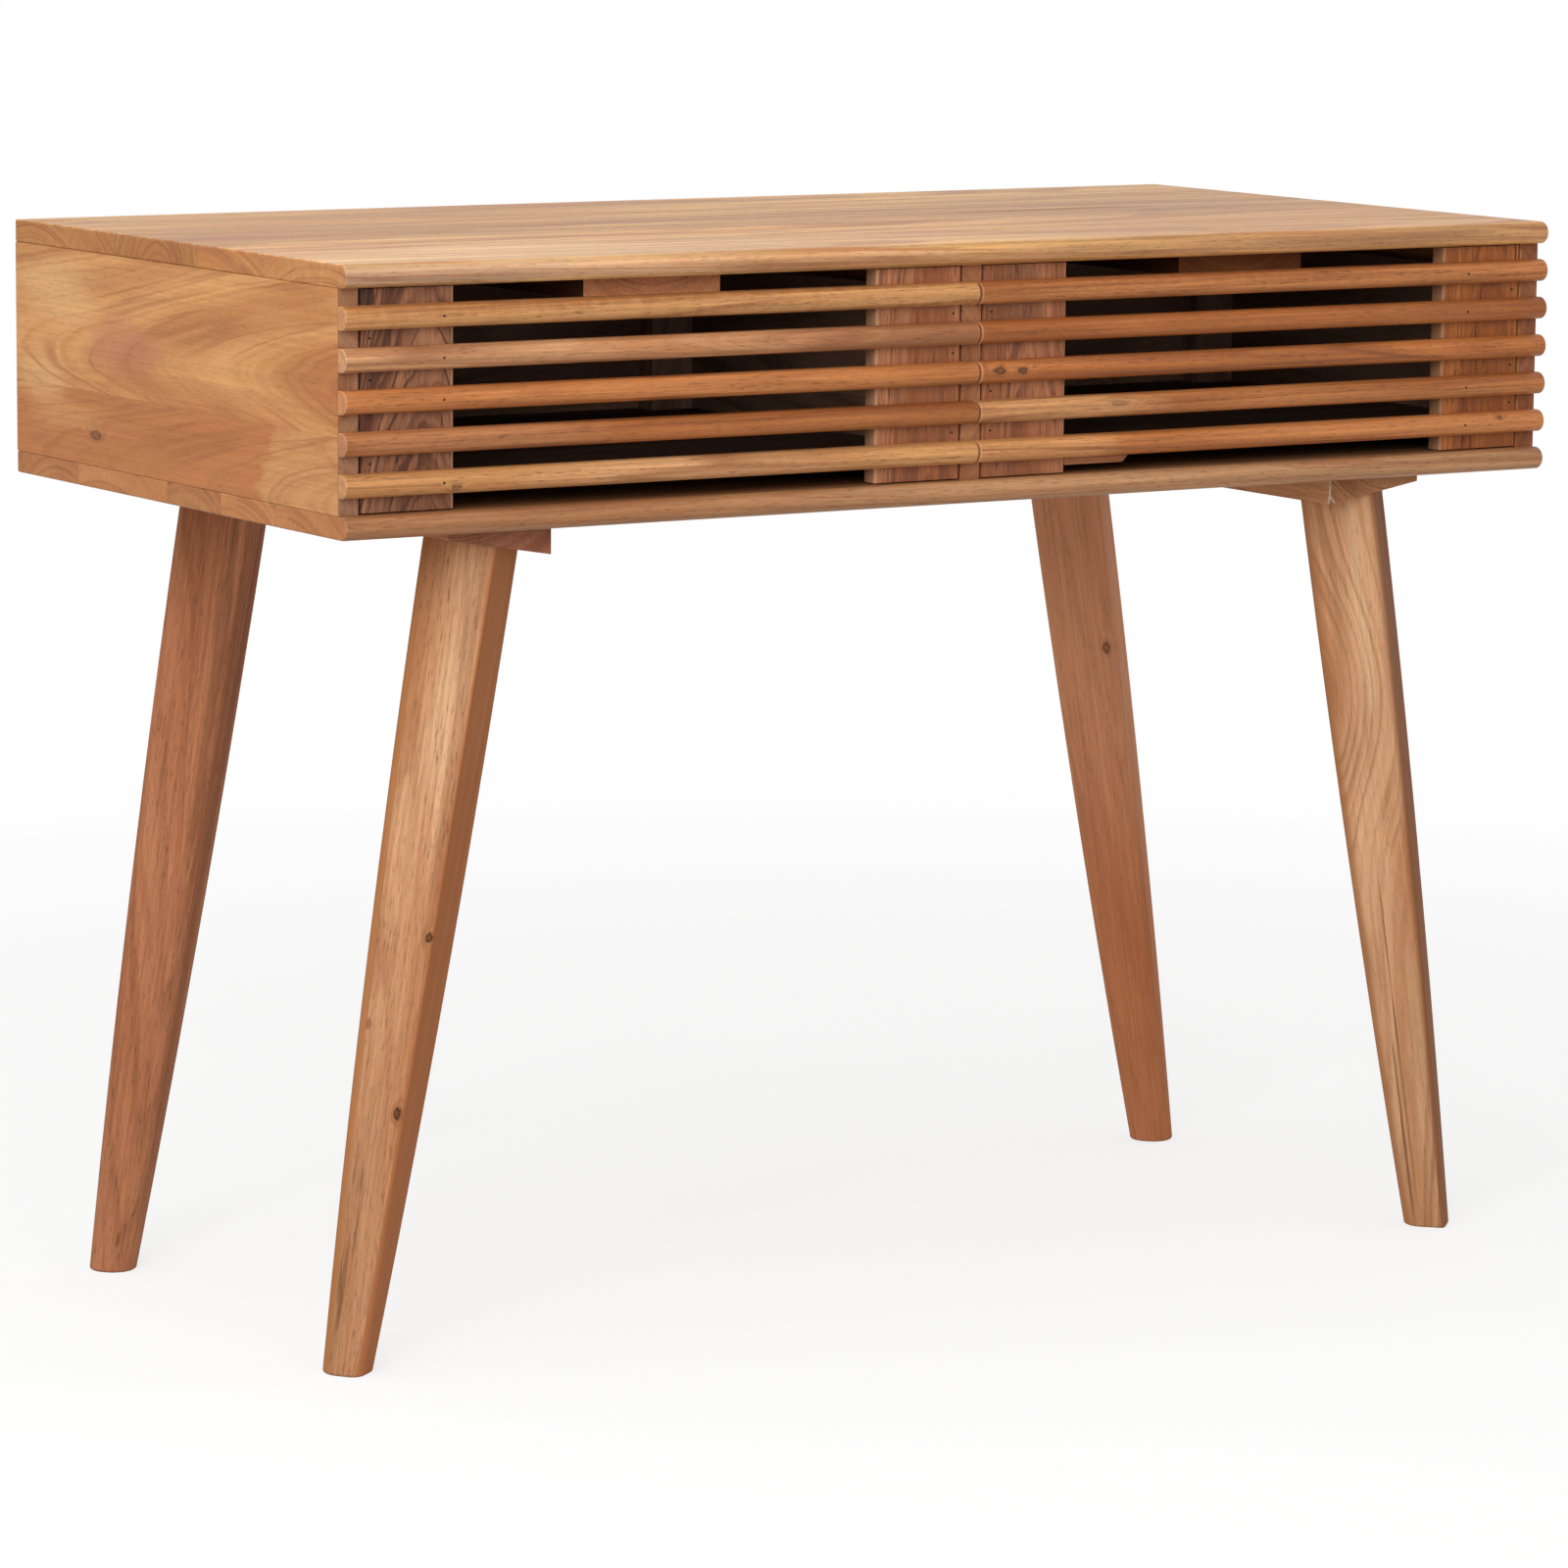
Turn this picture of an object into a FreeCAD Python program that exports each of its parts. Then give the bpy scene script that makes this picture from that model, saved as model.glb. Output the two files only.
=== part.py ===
import FreeCAD, Part
import math
import os

# Desk with two slatted drawers in a shallow case on four splayed, tapered legs.
# Millimetres. +X is the sitter's right, -Y the front, +Z up. The origin is on the floor under the centre.

Vector = FreeCAD.Vector
X_AXIS = Vector(1, 0, 0)
Y_AXIS = Vector(0, 1, 0)
Z_AXIS = Vector(0, 0, 1)

# Overall sizes
desk_width = 1000.0
desk_depth = 500.0
desk_height = 760.0
case_height = 182.0

# Case boards
board_thickness = 16.0
panel_thickness = 16.0
board_edge_round = 1.5
panel_edge_round = 0.8
back_panel_thickness = 9.0
back_panel_inset = 8.0
back_groove_depth = 6.0
back_groove_clearance = 0.2

# Kickers, the battens under the top that keep the drawers level
kicker_width = 108.0
kicker_thickness = 16.0
kicker_setback = 35.0
kicker_edge_round = 1.0

# Drawer fronts
slat_count = 5
slat_height = 16.0
slat_depth = 12.0
slat_end_round = 0.8
slat_seat_gap = 0.4
slat_meeting_gap = 2.0
stile_width = 70.0
stile_thickness = 13.0
stile_edge_round = 2.0
drawer_side_clearance = 1.5
stile_height_clearance = 1.0

# Drawer boxes
box_thickness = 13.0
box_depth = 358.0
box_edge_round = 1.5
box_running_gap = 0.3
kicker_clearance = 2.0
bottom_thickness = 6.0
bottom_raise = 15.7
bottom_groove_depth = 5.0
bottom_groove_clearance = 0.2
post_width = 34.0
post_depth = 20.0

# Legs and their wedge blocks
leg_splay = 9.65
leg_top_side = 55.0
leg_foot_diameter = 33.0
leg_swell = 4.4
leg_arris_round = 10.0
leg_arris_fade = 2
crisp_arris_top_round = 1.5
crisp_arris_foot_round = 9.0
crisp_arris_fade = 4
worn_arris_top_round = 9.0
worn_arris_foot_round = 4.0
turned_leg_top = 4.0
turned_leg_foot = 9.0
leg_foot_squareness = 0.06
leg_foot_round = 2.0
leg_trim_allowance = 18.0
leg_front_inset = 70.0
block_length = 80.0
block_width = 140.0
block_thickness = 20.5
block_end_inset = 93.0
block_front_inset = 30.0
block_edge_round = 1.0

# Leg bolts, screws and dowels
bolt_diameter = 8.0
bolt_in_leg = 34.0
insert_diameter = 12.0
insert_length = 19.0
screw_diameter = 4.0
screw_bite = 10.0
screw_head_diameter = 8.0
screw_head_height = 2.4
screw_head_sink = 1.0
block_screw_inset = 10.0
kicker_screw_inset = 60.0
case_dowel_diameter = 8.0
case_dowel_in_board = 9.0
case_dowel_in_panel = 14.0
case_dowel_inset = 70.0
box_dowel_diameter = 6.0
box_dowel_in_face = 8.0
box_dowel_in_end = 14.0
box_dowel_inset = 30.0
hole_clearance = 0.1
hole_end_clearance = 0.5

# Levels and planes worked out from the sizes above
half_width = desk_width / 2
front = -desk_depth / 2
rear = desk_depth / 2
case_floor = desk_height - case_height
bay_floor = case_floor + board_thickness
bay_ceiling = desk_height - board_thickness
slat_pitch = (case_height - board_thickness) / (slat_count + 1)
slat_back = front + slat_depth
panel_front = slat_back + slat_seat_gap
back_panel_rear = rear - back_panel_inset
back_panel_front = back_panel_rear - back_panel_thickness
bay_inner = panel_thickness / 2
bay_outer = half_width - panel_thickness
kicker_floor = bay_ceiling - kicker_thickness
stile_back = slat_back + stile_thickness
box_rear = stile_back + box_depth
box_floor = bay_floor + box_running_gap
box_top = kicker_floor - kicker_clearance
bottom_top = box_floor + bottom_raise + bottom_thickness
drawer_inner = bay_inner + drawer_side_clearance
drawer_outer = bay_outer - drawer_side_clearance
splay_angle = math.radians(leg_splay)
block_drop = block_length * math.tan(splay_angle)
block_middle = block_thickness - block_drop / 2
block_x = half_width - block_end_inset - block_length / 2
block_y = desk_depth / 2 - block_front_inset - block_width / 2
leg_y = desk_depth / 2 - leg_front_inset
leg_top_level = case_floor - block_middle
leg_length = leg_top_level / math.cos(splay_angle)

LEFT = -1
RIGHT = 1
FRONT = -1
BACK = 1


def box(x_range, y_range, z_range):
    """A block between two values on each axis, given in either order."""
    low = Vector(min(x_range), min(y_range), min(z_range))
    high = Vector(max(x_range), max(y_range), max(z_range))
    size = high - low
    return Part.makeBox(size.x, size.y, size.z, low)


def rod(start, direction, length, diameter):
    """A round bar, pin or hole cutter."""
    return Part.makeCylinder(diameter / 2, length, start, direction)


def along(edge, axis):
    """Whether a straight edge runs along an axis."""
    is_line = isinstance(edge.Curve, Part.Line)
    return is_line and abs(edge.tangentAt(edge.FirstParameter).dot(axis)) > 0.999


def rounded(solid, radius, wanted):
    """The solid with the edges that the test accepts rounded over."""
    edges = [edge for edge in solid.Edges if wanted(edge)]
    return solid.makeFillet(radius, edges)


def cut_all(solid, cutters):
    """The solid less every cutter."""
    return solid.cut(Part.Compound(cutters)) if cutters else solid


def only_solid(shape):
    """The one solid that a boolean operation leaves."""
    return shape.Solids[0]


def half_round_bar(x_range, y_front, y_back, z_low, z_high, end_round, back_round):
    """A bar along X with a half-round front edge, eased back edges and eased ends."""
    radius = (z_high - z_low) / 2
    y_spring = y_front + radius
    x_start = min(x_range)
    low_spring = Vector(x_start, y_spring, z_low)
    nose = Vector(x_start, y_front, z_low + radius)
    high_spring = Vector(x_start, y_spring, z_high)
    high_back = Vector(x_start, y_back, z_high)
    low_back = Vector(x_start, y_back, z_low)
    outline = Part.Wire([
        Part.Arc(low_spring, nose, high_spring).toShape(),
        Part.LineSegment(high_spring, high_back).toShape(),
        Part.LineSegment(high_back, low_back).toShape(),
        Part.LineSegment(low_back, low_spring).toShape(),
    ])
    length = max(x_range) - x_start
    bar = Part.Face(outline).extrude(X_AXIS * length)

    def at_back(edge):
        return along(edge, X_AXIS) and edge.CenterOfMass.y > y_back - radius / 4

    def at_end(edge):
        return edge.BoundBox.XLength < radius / 4

    if back_round:
        bar = rounded(bar, back_round, at_back)
    return rounded(bar, end_round, at_end)


def dowel(start, direction, before, after, diameter):
    """A dowel that reaches both ways from the joint plane at start."""
    return rod(start - direction * before, direction, before + after, diameter)


def dowel_hole(start, direction, before, after, diameter):
    """The hole for a dowel, with room round it and at both ends."""
    room = hole_end_clearance
    return dowel(start, direction, before + room, after + room, diameter + 2 * hole_clearance)


def sunk_screw(seat, bite_end):
    """A screw that points up, its head under the seat point."""
    head = rod(seat - Z_AXIS * screw_head_height, Z_AXIS, screw_head_height, screw_head_diameter)
    shank = rod(seat, Z_AXIS, bite_end - seat.z, screw_diameter)
    return head.fuse(shank).removeSplitter()


def sunk_screw_hole(seat, bite_end, mouth):
    """The hole for such a screw, open below as far down as mouth."""
    head = rod(Vector(seat.x, seat.y, mouth), Z_AXIS, seat.z - mouth, screw_head_diameter + 4 * hole_clearance)
    length = bite_end - seat.z + hole_end_clearance
    shank = rod(seat, Z_AXIS, length, screw_diameter + 2 * hole_clearance)
    return head.fuse(shank)


# Case

def case_dowel_places():
    """Joint points of the upright panels with the boards, as x, y pairs."""
    panel_centres = (panel_thickness / 2 - half_width, 0.0, half_width - panel_thickness / 2)
    rows = (panel_front + case_dowel_inset, back_panel_front - case_dowel_inset)
    return [(x, y) for x in panel_centres for y in rows]


def case_dowel_points():
    """Each case dowel's joint point and the way from its board into its panel."""
    for x, y in case_dowel_places():
        yield Vector(x, y, bay_ceiling), -Z_AXIS
        yield Vector(x, y, bay_floor), Z_AXIS


def case_dowel_holes():
    """Holes for the dowels between panels and boards."""
    return [dowel_hole(point, way, case_dowel_in_board, case_dowel_in_panel, case_dowel_diameter)
            for point, way in case_dowel_points()]


def back_groove():
    """The room that the back panel takes in the boards and side panels round it."""
    room = back_groove_clearance
    reach = back_groove_depth + room
    return box((-bay_outer - reach, bay_outer + reach),
               (back_panel_front - room, back_panel_rear + room),
               (bay_floor - reach, bay_ceiling + reach))


def make_board(z_low):
    """A case board, full length, with a bullnosed front edge."""
    return half_round_bar((-half_width, half_width), front, rear, z_low, z_low + board_thickness,
                          board_edge_round, board_edge_round)


def make_top_board():
    """The top, grooved for the back panel and bored for dowels and kicker screws."""
    cutters = [back_groove()] + case_dowel_holes() + kicker_screw_holes()
    return only_solid(cut_all(make_board(bay_ceiling), cutters))


def make_bottom_board():
    """The board under the drawers, bored also for the leg inserts and block screws."""
    cutters = [back_groove()] + case_dowel_holes()
    for side, end in LEG_PLACES.values():
        cutters.append(insert_bore(side, end))
        cutters.extend(block_screw_holes(side, end))
    return only_solid(cut_all(make_board(case_floor), cutters))


def make_panel(x_range, y_back):
    """An upright panel between the boards, with eased front and back edges."""
    panel = box(x_range, (panel_front, y_back), (bay_floor, bay_ceiling))
    panel = rounded(panel, panel_edge_round, lambda edge: along(edge, Z_AXIS))
    return only_solid(cut_all(panel, [back_groove()] + case_dowel_holes()))


def make_side_panel(side):
    """An end of the case."""
    return make_panel((side * bay_outer, side * half_width), rear)


def make_centre_divider():
    """The panel between the two drawers, up to the back panel."""
    return make_panel((-bay_inner, bay_inner), back_panel_front - back_groove_clearance)


def make_back_panel():
    """The thin back, held in grooves all round."""
    return box((-bay_outer - back_groove_depth, bay_outer + back_groove_depth),
               (back_panel_front, back_panel_rear),
               (bay_floor - back_groove_depth, bay_ceiling + back_groove_depth))


# Kickers

def kicker_x(side):
    """The middle of a kicker, over the middle of its drawer."""
    return side * (drawer_inner + drawer_outer) / 2


def kicker_screw_seats():
    """Where the heads of the kicker screws seat, inside the kickers."""
    y_front = front + kicker_setback + kicker_screw_inset
    y_back = back_panel_front - kicker_screw_inset
    level = kicker_floor + screw_head_height + screw_head_sink
    return [Vector(kicker_x(side), y, level) for side in (LEFT, RIGHT) for y in (y_front, y_back)]


def kicker_screw_holes():
    """Holes for the kicker screws, through the kickers into the top."""
    return [sunk_screw_hole(seat, bay_ceiling + screw_bite, kicker_floor - kicker_thickness)
            for seat in kicker_screw_seats()]


def make_kicker(side):
    """A flat batten screwed up under the top, from behind the stiles to the back panel."""
    x_middle = kicker_x(side)
    batten = box((x_middle - kicker_width / 2, x_middle + kicker_width / 2),
                 (front + kicker_setback, back_panel_front - back_groove_clearance),
                 (kicker_floor, bay_ceiling))

    def lower_arris(edge):
        return along(edge, Y_AXIS) and edge.CenterOfMass.z < kicker_floor + kicker_thickness / 2

    batten = rounded(batten, kicker_edge_round, lower_arris)
    return only_solid(cut_all(batten, kicker_screw_holes()))


# Legs and wedge blocks

LEG_PLACES = {
    "front_left": (LEFT, FRONT),
    "front_right": (RIGHT, FRONT),
    "back_left": (LEFT, BACK),
    "back_right": (RIGHT, BACK),
}


def leg_top(side, end):
    """The middle of a leg's top face, on its wedge block."""
    return Vector(side * block_x, end * leg_y, leg_top_level)


def leg_way_up(side):
    """The direction of a leg from foot to top."""
    return Vector(-side * math.sin(splay_angle), 0, math.cos(splay_angle))


def leg_side(height):
    """Width of the leg's section at a share of its length above the floor."""
    straight = leg_foot_diameter + (leg_top_side - leg_foot_diameter) * height
    return straight + 4 * leg_swell * height * (1 - height)


def rounded_square(side, corner_rounds, level):
    """A square outline with one corner towards the front and a radius for each corner."""
    reach = side / math.sqrt(2)
    ways = [-Y_AXIS, X_AXIS, Y_AXIS, -X_AXIS]
    centre = Vector(0, 0, level)
    corners = [centre + way * reach for way in ways]
    starts = []
    noses = []
    ends = []
    for index, radius in enumerate(corner_rounds):
        corner = corners[index]
        to_last = (corners[index - 1] - corner).normalize()
        to_next = (corners[(index + 1) % 4] - corner).normalize()
        starts.append(corner + to_last * radius)
        ends.append(corner + to_next * radius)
        noses.append(corner - ways[index] * radius * (math.sqrt(2) - 1))
    edges = []
    for index in range(4):
        edges.append(Part.Arc(starts[index], noses[index], ends[index]).toShape())
        edges.append(Part.LineSegment(ends[index], starts[(index + 1) % 4]).toShape())
    return Part.Wire(edges)


def between(top, foot, share):
    """A value part of the way from the leg's top to its foot."""
    return top + (foot - top) * share


def leg_section(side, end, height):
    """The leg's outline at a share of its length: arrises fade to a nearly round foot."""
    down = 1 - height
    foot_round = (1 - leg_foot_squareness) * leg_foot_diameter / 2
    soft = between(leg_arris_round, foot_round, down ** leg_arris_fade)
    front_arris = soft
    turn = 0
    if (side, end) == LEG_PLACES["front_left"]:
        front_arris = between(crisp_arris_top_round, crisp_arris_foot_round, down ** crisp_arris_fade)
        turn = between(turned_leg_top, turned_leg_foot, down)
    if (side, end) == LEG_PLACES["front_right"]:
        front_arris = between(worn_arris_top_round, worn_arris_foot_round, down)
    outline = rounded_square(leg_side(height), [front_arris, soft, soft, soft], -down * leg_length)
    outline.rotate(Vector(0, 0, 0), Z_AXIS, -turn)
    return outline


def make_leg(side, end):
    """A tapered leg, square to its block, cut level at the floor and bored for its bolt."""
    heights = (1.0, 0.75, 0.5, 0.25, 0.0, -leg_trim_allowance / leg_length)
    leg = Part.makeLoft([leg_section(side, end, height) for height in heights], True, False)
    leg.rotate(Vector(0, 0, 0), Y_AXIS, -side * leg_splay)
    top = leg_top(side, end)
    leg.translate(top)
    below = box((top.x - desk_width, top.x + desk_width), (-desk_depth, desk_depth), (-leg_length, 0))
    leg = only_solid(leg.cut(below))
    leg = rounded(leg, leg_foot_round, lambda edge: edge.BoundBox.ZMax < leg_foot_round / 4)
    bore = rod(top, -leg_way_up(side), bolt_in_leg + hole_end_clearance, bolt_diameter + 2 * hole_clearance)
    return only_solid(leg.cut(bore))


def make_leg_block(side, end):
    """A wedge, thick towards the middle of the desk so that the leg splays, that runs on behind the leg."""
    x_in = side * (block_x - block_length / 2)
    x_out = side * (block_x + block_length / 2)
    y_front = end * block_y - block_width / 2
    corners = [
        Vector(x_in, y_front, case_floor),
        Vector(x_out, y_front, case_floor),
        Vector(x_out, y_front, case_floor - block_thickness + block_drop),
        Vector(x_in, y_front, case_floor - block_thickness),
    ]
    outline = Part.makePolygon(corners + corners[:1])
    wedge = Part.Face(outline).extrude(Y_AXIS * block_width)
    wedge = rounded(wedge, block_edge_round, lambda edge: along(edge, Z_AXIS))
    cutters = [insert_bore(side, end)] + block_screw_holes(side, end)
    return only_solid(cut_all(wedge, cutters))


def insert_bore(side, end):
    """The bore for a threaded insert, up from the wedge's lower face."""
    way = leg_way_up(side)
    start = leg_top(side, end) - way * insert_diameter
    length = insert_diameter + insert_length + hole_end_clearance
    return rod(start, way, length, insert_diameter + 2 * hole_clearance)


def block_screw_seats(side, end):
    """Where the heads of a block's four screws seat, one near each corner."""
    x_reach = block_length / 2 - block_screw_inset
    y_reach = block_width / 2 - block_screw_inset
    for x_way in (-1, 1):
        thickness = block_middle - x_way * x_reach * math.tan(splay_angle)
        level = case_floor - thickness + screw_head_height + screw_head_sink
        for y_way in (-1, 1):
            yield Vector(side * (block_x + x_way * x_reach), end * block_y + y_way * y_reach, level)


def block_screw_holes(side, end):
    """Holes for a block's screws, through the wedge into the bottom board."""
    return [sunk_screw_hole(seat, case_floor + screw_bite, case_floor - 2 * block_thickness)
            for seat in block_screw_seats(side, end)]


# Drawers

def slat_level(number):
    """The middle height of a slat, counted from the top."""
    return desk_height - board_thickness / 2 - number * slat_pitch


def make_slat(side, number):
    """A half-round slat across the drawer, over the panel edges at both ends."""
    level = slat_level(number)
    return half_round_bar((side * slat_meeting_gap / 2, side * half_width), front, slat_back,
                          level - slat_height / 2, level + slat_height / 2, slat_end_round, 0)


def box_dowel_points(side):
    """Joint points of the drawer box, each with the way from the drilled face into the end grain."""
    levels = (box_floor + box_dowel_inset, box_top - box_dowel_inset)
    back_levels = (bottom_top + box_dowel_inset, box_top - box_dowel_inset)
    for x, way in ((drawer_inner, X_AXIS), (drawer_outer, -X_AXIS)):
        x_middle = side * x + side * way * X_AXIS * box_thickness / 2
        x_inside = side * x + side * way * X_AXIS * box_thickness
        for level in levels:
            yield Vector(x_middle, stile_back, level), Y_AXIS
        for level in back_levels:
            yield Vector(x_inside, box_rear - box_thickness / 2, level), way * side


def box_dowel_holes(side):
    """Holes for the dowels of a drawer box."""
    return [dowel_hole(point, way, box_dowel_in_face, box_dowel_in_end, box_dowel_diameter)
            for point, way in box_dowel_points(side)]


def make_stile(side, x_start, x_end):
    """An upright behind the slats, with softened long edges."""
    stile = box((side * x_start, side * x_end), (slat_back, stile_back),
                (bay_floor + stile_height_clearance, bay_ceiling - stile_height_clearance))

    def front_arris(edge):
        return along(edge, Z_AXIS) and edge.CenterOfMass.y < slat_back + stile_thickness / 2

    stile = rounded(stile, stile_edge_round, front_arris)
    return only_solid(cut_all(stile, box_dowel_holes(side)))


def bottom_groove(side):
    """The room that the drawer bottom takes in the drawer sides."""
    room = bottom_groove_clearance
    reach = box_thickness - bottom_groove_depth - room
    return box((side * (drawer_inner + reach), side * (drawer_outer - reach)),
               (stile_back - room, box_rear + room),
               (bottom_top - bottom_thickness - room, bottom_top + room))


def make_drawer_side(side, x_start, x_end):
    """A drawer side that runs on the bottom board, grooved for the drawer bottom."""
    plank = box((side * x_start, side * x_end), (stile_back, box_rear), (box_floor, box_top))

    def top_arris(edge):
        return along(edge, Y_AXIS) and edge.CenterOfMass.z > box_top - box_thickness / 2

    plank = rounded(plank, box_edge_round, top_arris)
    return only_solid(cut_all(plank, [bottom_groove(side)] + box_dowel_holes(side)))


def make_drawer_back(side):
    """The drawer back, between the sides and on the bottom."""
    plank = box((side * (drawer_inner + box_thickness), side * (drawer_outer - box_thickness)),
                (box_rear - box_thickness, box_rear), (bottom_top, box_top))

    def top_arris(edge):
        return along(edge, X_AXIS) and edge.CenterOfMass.z > box_top - box_thickness / 2

    plank = rounded(plank, box_edge_round, top_arris)
    return only_solid(cut_all(plank, box_dowel_holes(side)))


def make_drawer_bottom(side):
    """The thin drawer bottom, held in the grooves of the sides."""
    reach = box_thickness - bottom_groove_depth
    return box((side * (drawer_inner + reach), side * (drawer_outer - reach)),
               (stile_back, box_rear), (bottom_top - bottom_thickness, bottom_top))


def make_post(side, x_start, way):
    """A post glued into a rear corner of the drawer."""
    return box((side * x_start, side * (x_start + way * post_width)),
               (box_rear - box_thickness - post_depth, box_rear - box_thickness), (bottom_top, box_top))


def make_drawer(side, name):
    """All the pieces of one drawer, by node name."""
    outer_from = drawer_outer - stile_width
    inner_to = drawer_inner + stile_width
    pieces = {
        "outer_stile": make_stile(side, outer_from, drawer_outer),
        "inner_stile": make_stile(side, drawer_inner, inner_to),
        "outer_side": make_drawer_side(side, drawer_outer - box_thickness, drawer_outer),
        "inner_side": make_drawer_side(side, drawer_inner, drawer_inner + box_thickness),
        "back": make_drawer_back(side),
        "bottom": make_drawer_bottom(side),
        "outer_post": make_post(side, drawer_outer - box_thickness, -1),
        "inner_post": make_post(side, drawer_inner + box_thickness, 1),
        "dowels": Part.Compound([dowel(point, way, box_dowel_in_face, box_dowel_in_end, box_dowel_diameter)
                                 for point, way in box_dowel_points(side)]),
    }
    for number in range(1, slat_count + 1):
        pieces["slat_%d" % number] = make_slat(side, number)
    return {"%s_drawer_%s" % (name, piece): solid for piece, solid in pieces.items()}


# Fasteners of the case

def make_leg_bolt(side, end):
    """A hanger bolt, half in the leg and half in the insert."""
    way = leg_way_up(side)
    return rod(leg_top(side, end) - way * bolt_in_leg, way, bolt_in_leg + insert_length, bolt_diameter)


def make_insert_nut(side, end):
    """A threaded insert flush with the wedge's lower face."""
    way = leg_way_up(side)
    start = leg_top(side, end)
    sleeve = rod(start, way, insert_length, insert_diameter)
    return sleeve.cut(rod(start, way, insert_length, bolt_diameter + 2 * hole_clearance))


def make_fasteners():
    """Each kind of hidden fastener, as a group."""
    places = LEG_PLACES.values()
    block_screws = [sunk_screw(seat, case_floor + screw_bite)
                    for side, end in places for seat in block_screw_seats(side, end)]
    return {
        "leg_bolts": Part.Compound([make_leg_bolt(side, end) for side, end in places]),
        "leg_insert_nuts": Part.Compound([make_insert_nut(side, end) for side, end in places]),
        "block_screws": Part.Compound(block_screws),
        "kicker_screws": Part.Compound([sunk_screw(seat, bay_ceiling + screw_bite)
                                        for seat in kicker_screw_seats()]),
        "case_dowels": Part.Compound([dowel(point, way, case_dowel_in_board, case_dowel_in_panel,
                                            case_dowel_diameter)
                                      for point, way in case_dowel_points()]),
    }


def make_desk():
    """Every piece of the desk, by node name."""
    pieces = {
        "top_board": make_top_board(),
        "bottom_board": make_bottom_board(),
        "left_side_panel": make_side_panel(LEFT),
        "right_side_panel": make_side_panel(RIGHT),
        "centre_divider": make_centre_divider(),
        "back_panel": make_back_panel(),
        "left_drawer_kicker": make_kicker(LEFT),
        "right_drawer_kicker": make_kicker(RIGHT),
    }
    for name, (side, end) in LEG_PLACES.items():
        pieces[name + "_leg"] = make_leg(side, end)
        pieces[name + "_leg_block"] = make_leg_block(side, end)
    pieces.update(make_fasteners())
    pieces.update(make_drawer(LEFT, "left"))
    pieces.update(make_drawer(RIGHT, "right"))
    return pieces


os.makedirs("parts", exist_ok=True)
for node, shape in make_desk().items():
    shape.exportStep(os.path.join("parts", node + ".step"))
    print("%s: %d solid(s), %.1f cm3" % (node, len(shape.Solids), shape.Volume / 1000))
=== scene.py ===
import logging
import math
from dataclasses import dataclass, replace
from enum import Enum
from typing import Callable, Iterable, Mapping, Sequence

import bmesh
import bpy
from mathutils import Matrix, Vector


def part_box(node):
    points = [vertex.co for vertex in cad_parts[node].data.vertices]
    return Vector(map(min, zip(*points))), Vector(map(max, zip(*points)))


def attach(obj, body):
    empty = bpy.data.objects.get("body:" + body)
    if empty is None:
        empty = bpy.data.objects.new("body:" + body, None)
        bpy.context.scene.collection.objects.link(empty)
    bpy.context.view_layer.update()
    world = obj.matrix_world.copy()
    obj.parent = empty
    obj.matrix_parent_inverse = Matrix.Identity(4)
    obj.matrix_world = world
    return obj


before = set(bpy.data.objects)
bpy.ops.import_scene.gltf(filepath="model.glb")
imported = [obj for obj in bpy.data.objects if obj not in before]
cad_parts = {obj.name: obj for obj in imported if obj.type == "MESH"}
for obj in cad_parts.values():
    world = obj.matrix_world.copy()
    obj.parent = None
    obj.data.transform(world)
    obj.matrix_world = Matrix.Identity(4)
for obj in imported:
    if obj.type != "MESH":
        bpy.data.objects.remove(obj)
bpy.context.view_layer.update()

log = logging.getLogger("slatted_desk")

Triple = tuple[float, float, float]

MILLIMETRE = 0.001
PHOTO_SIDE = 1600
SENSOR_WIDTH = 36.0
WHITE: Triple = (1.0, 1.0, 1.0)

X_WAY: Triple = (1.0, 0.0, 0.0)
Y_WAY: Triple = (0.0, 1.0, 0.0)
Z_WAY: Triple = (0.0, 0.0, 1.0)


# Shader graphs

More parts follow.
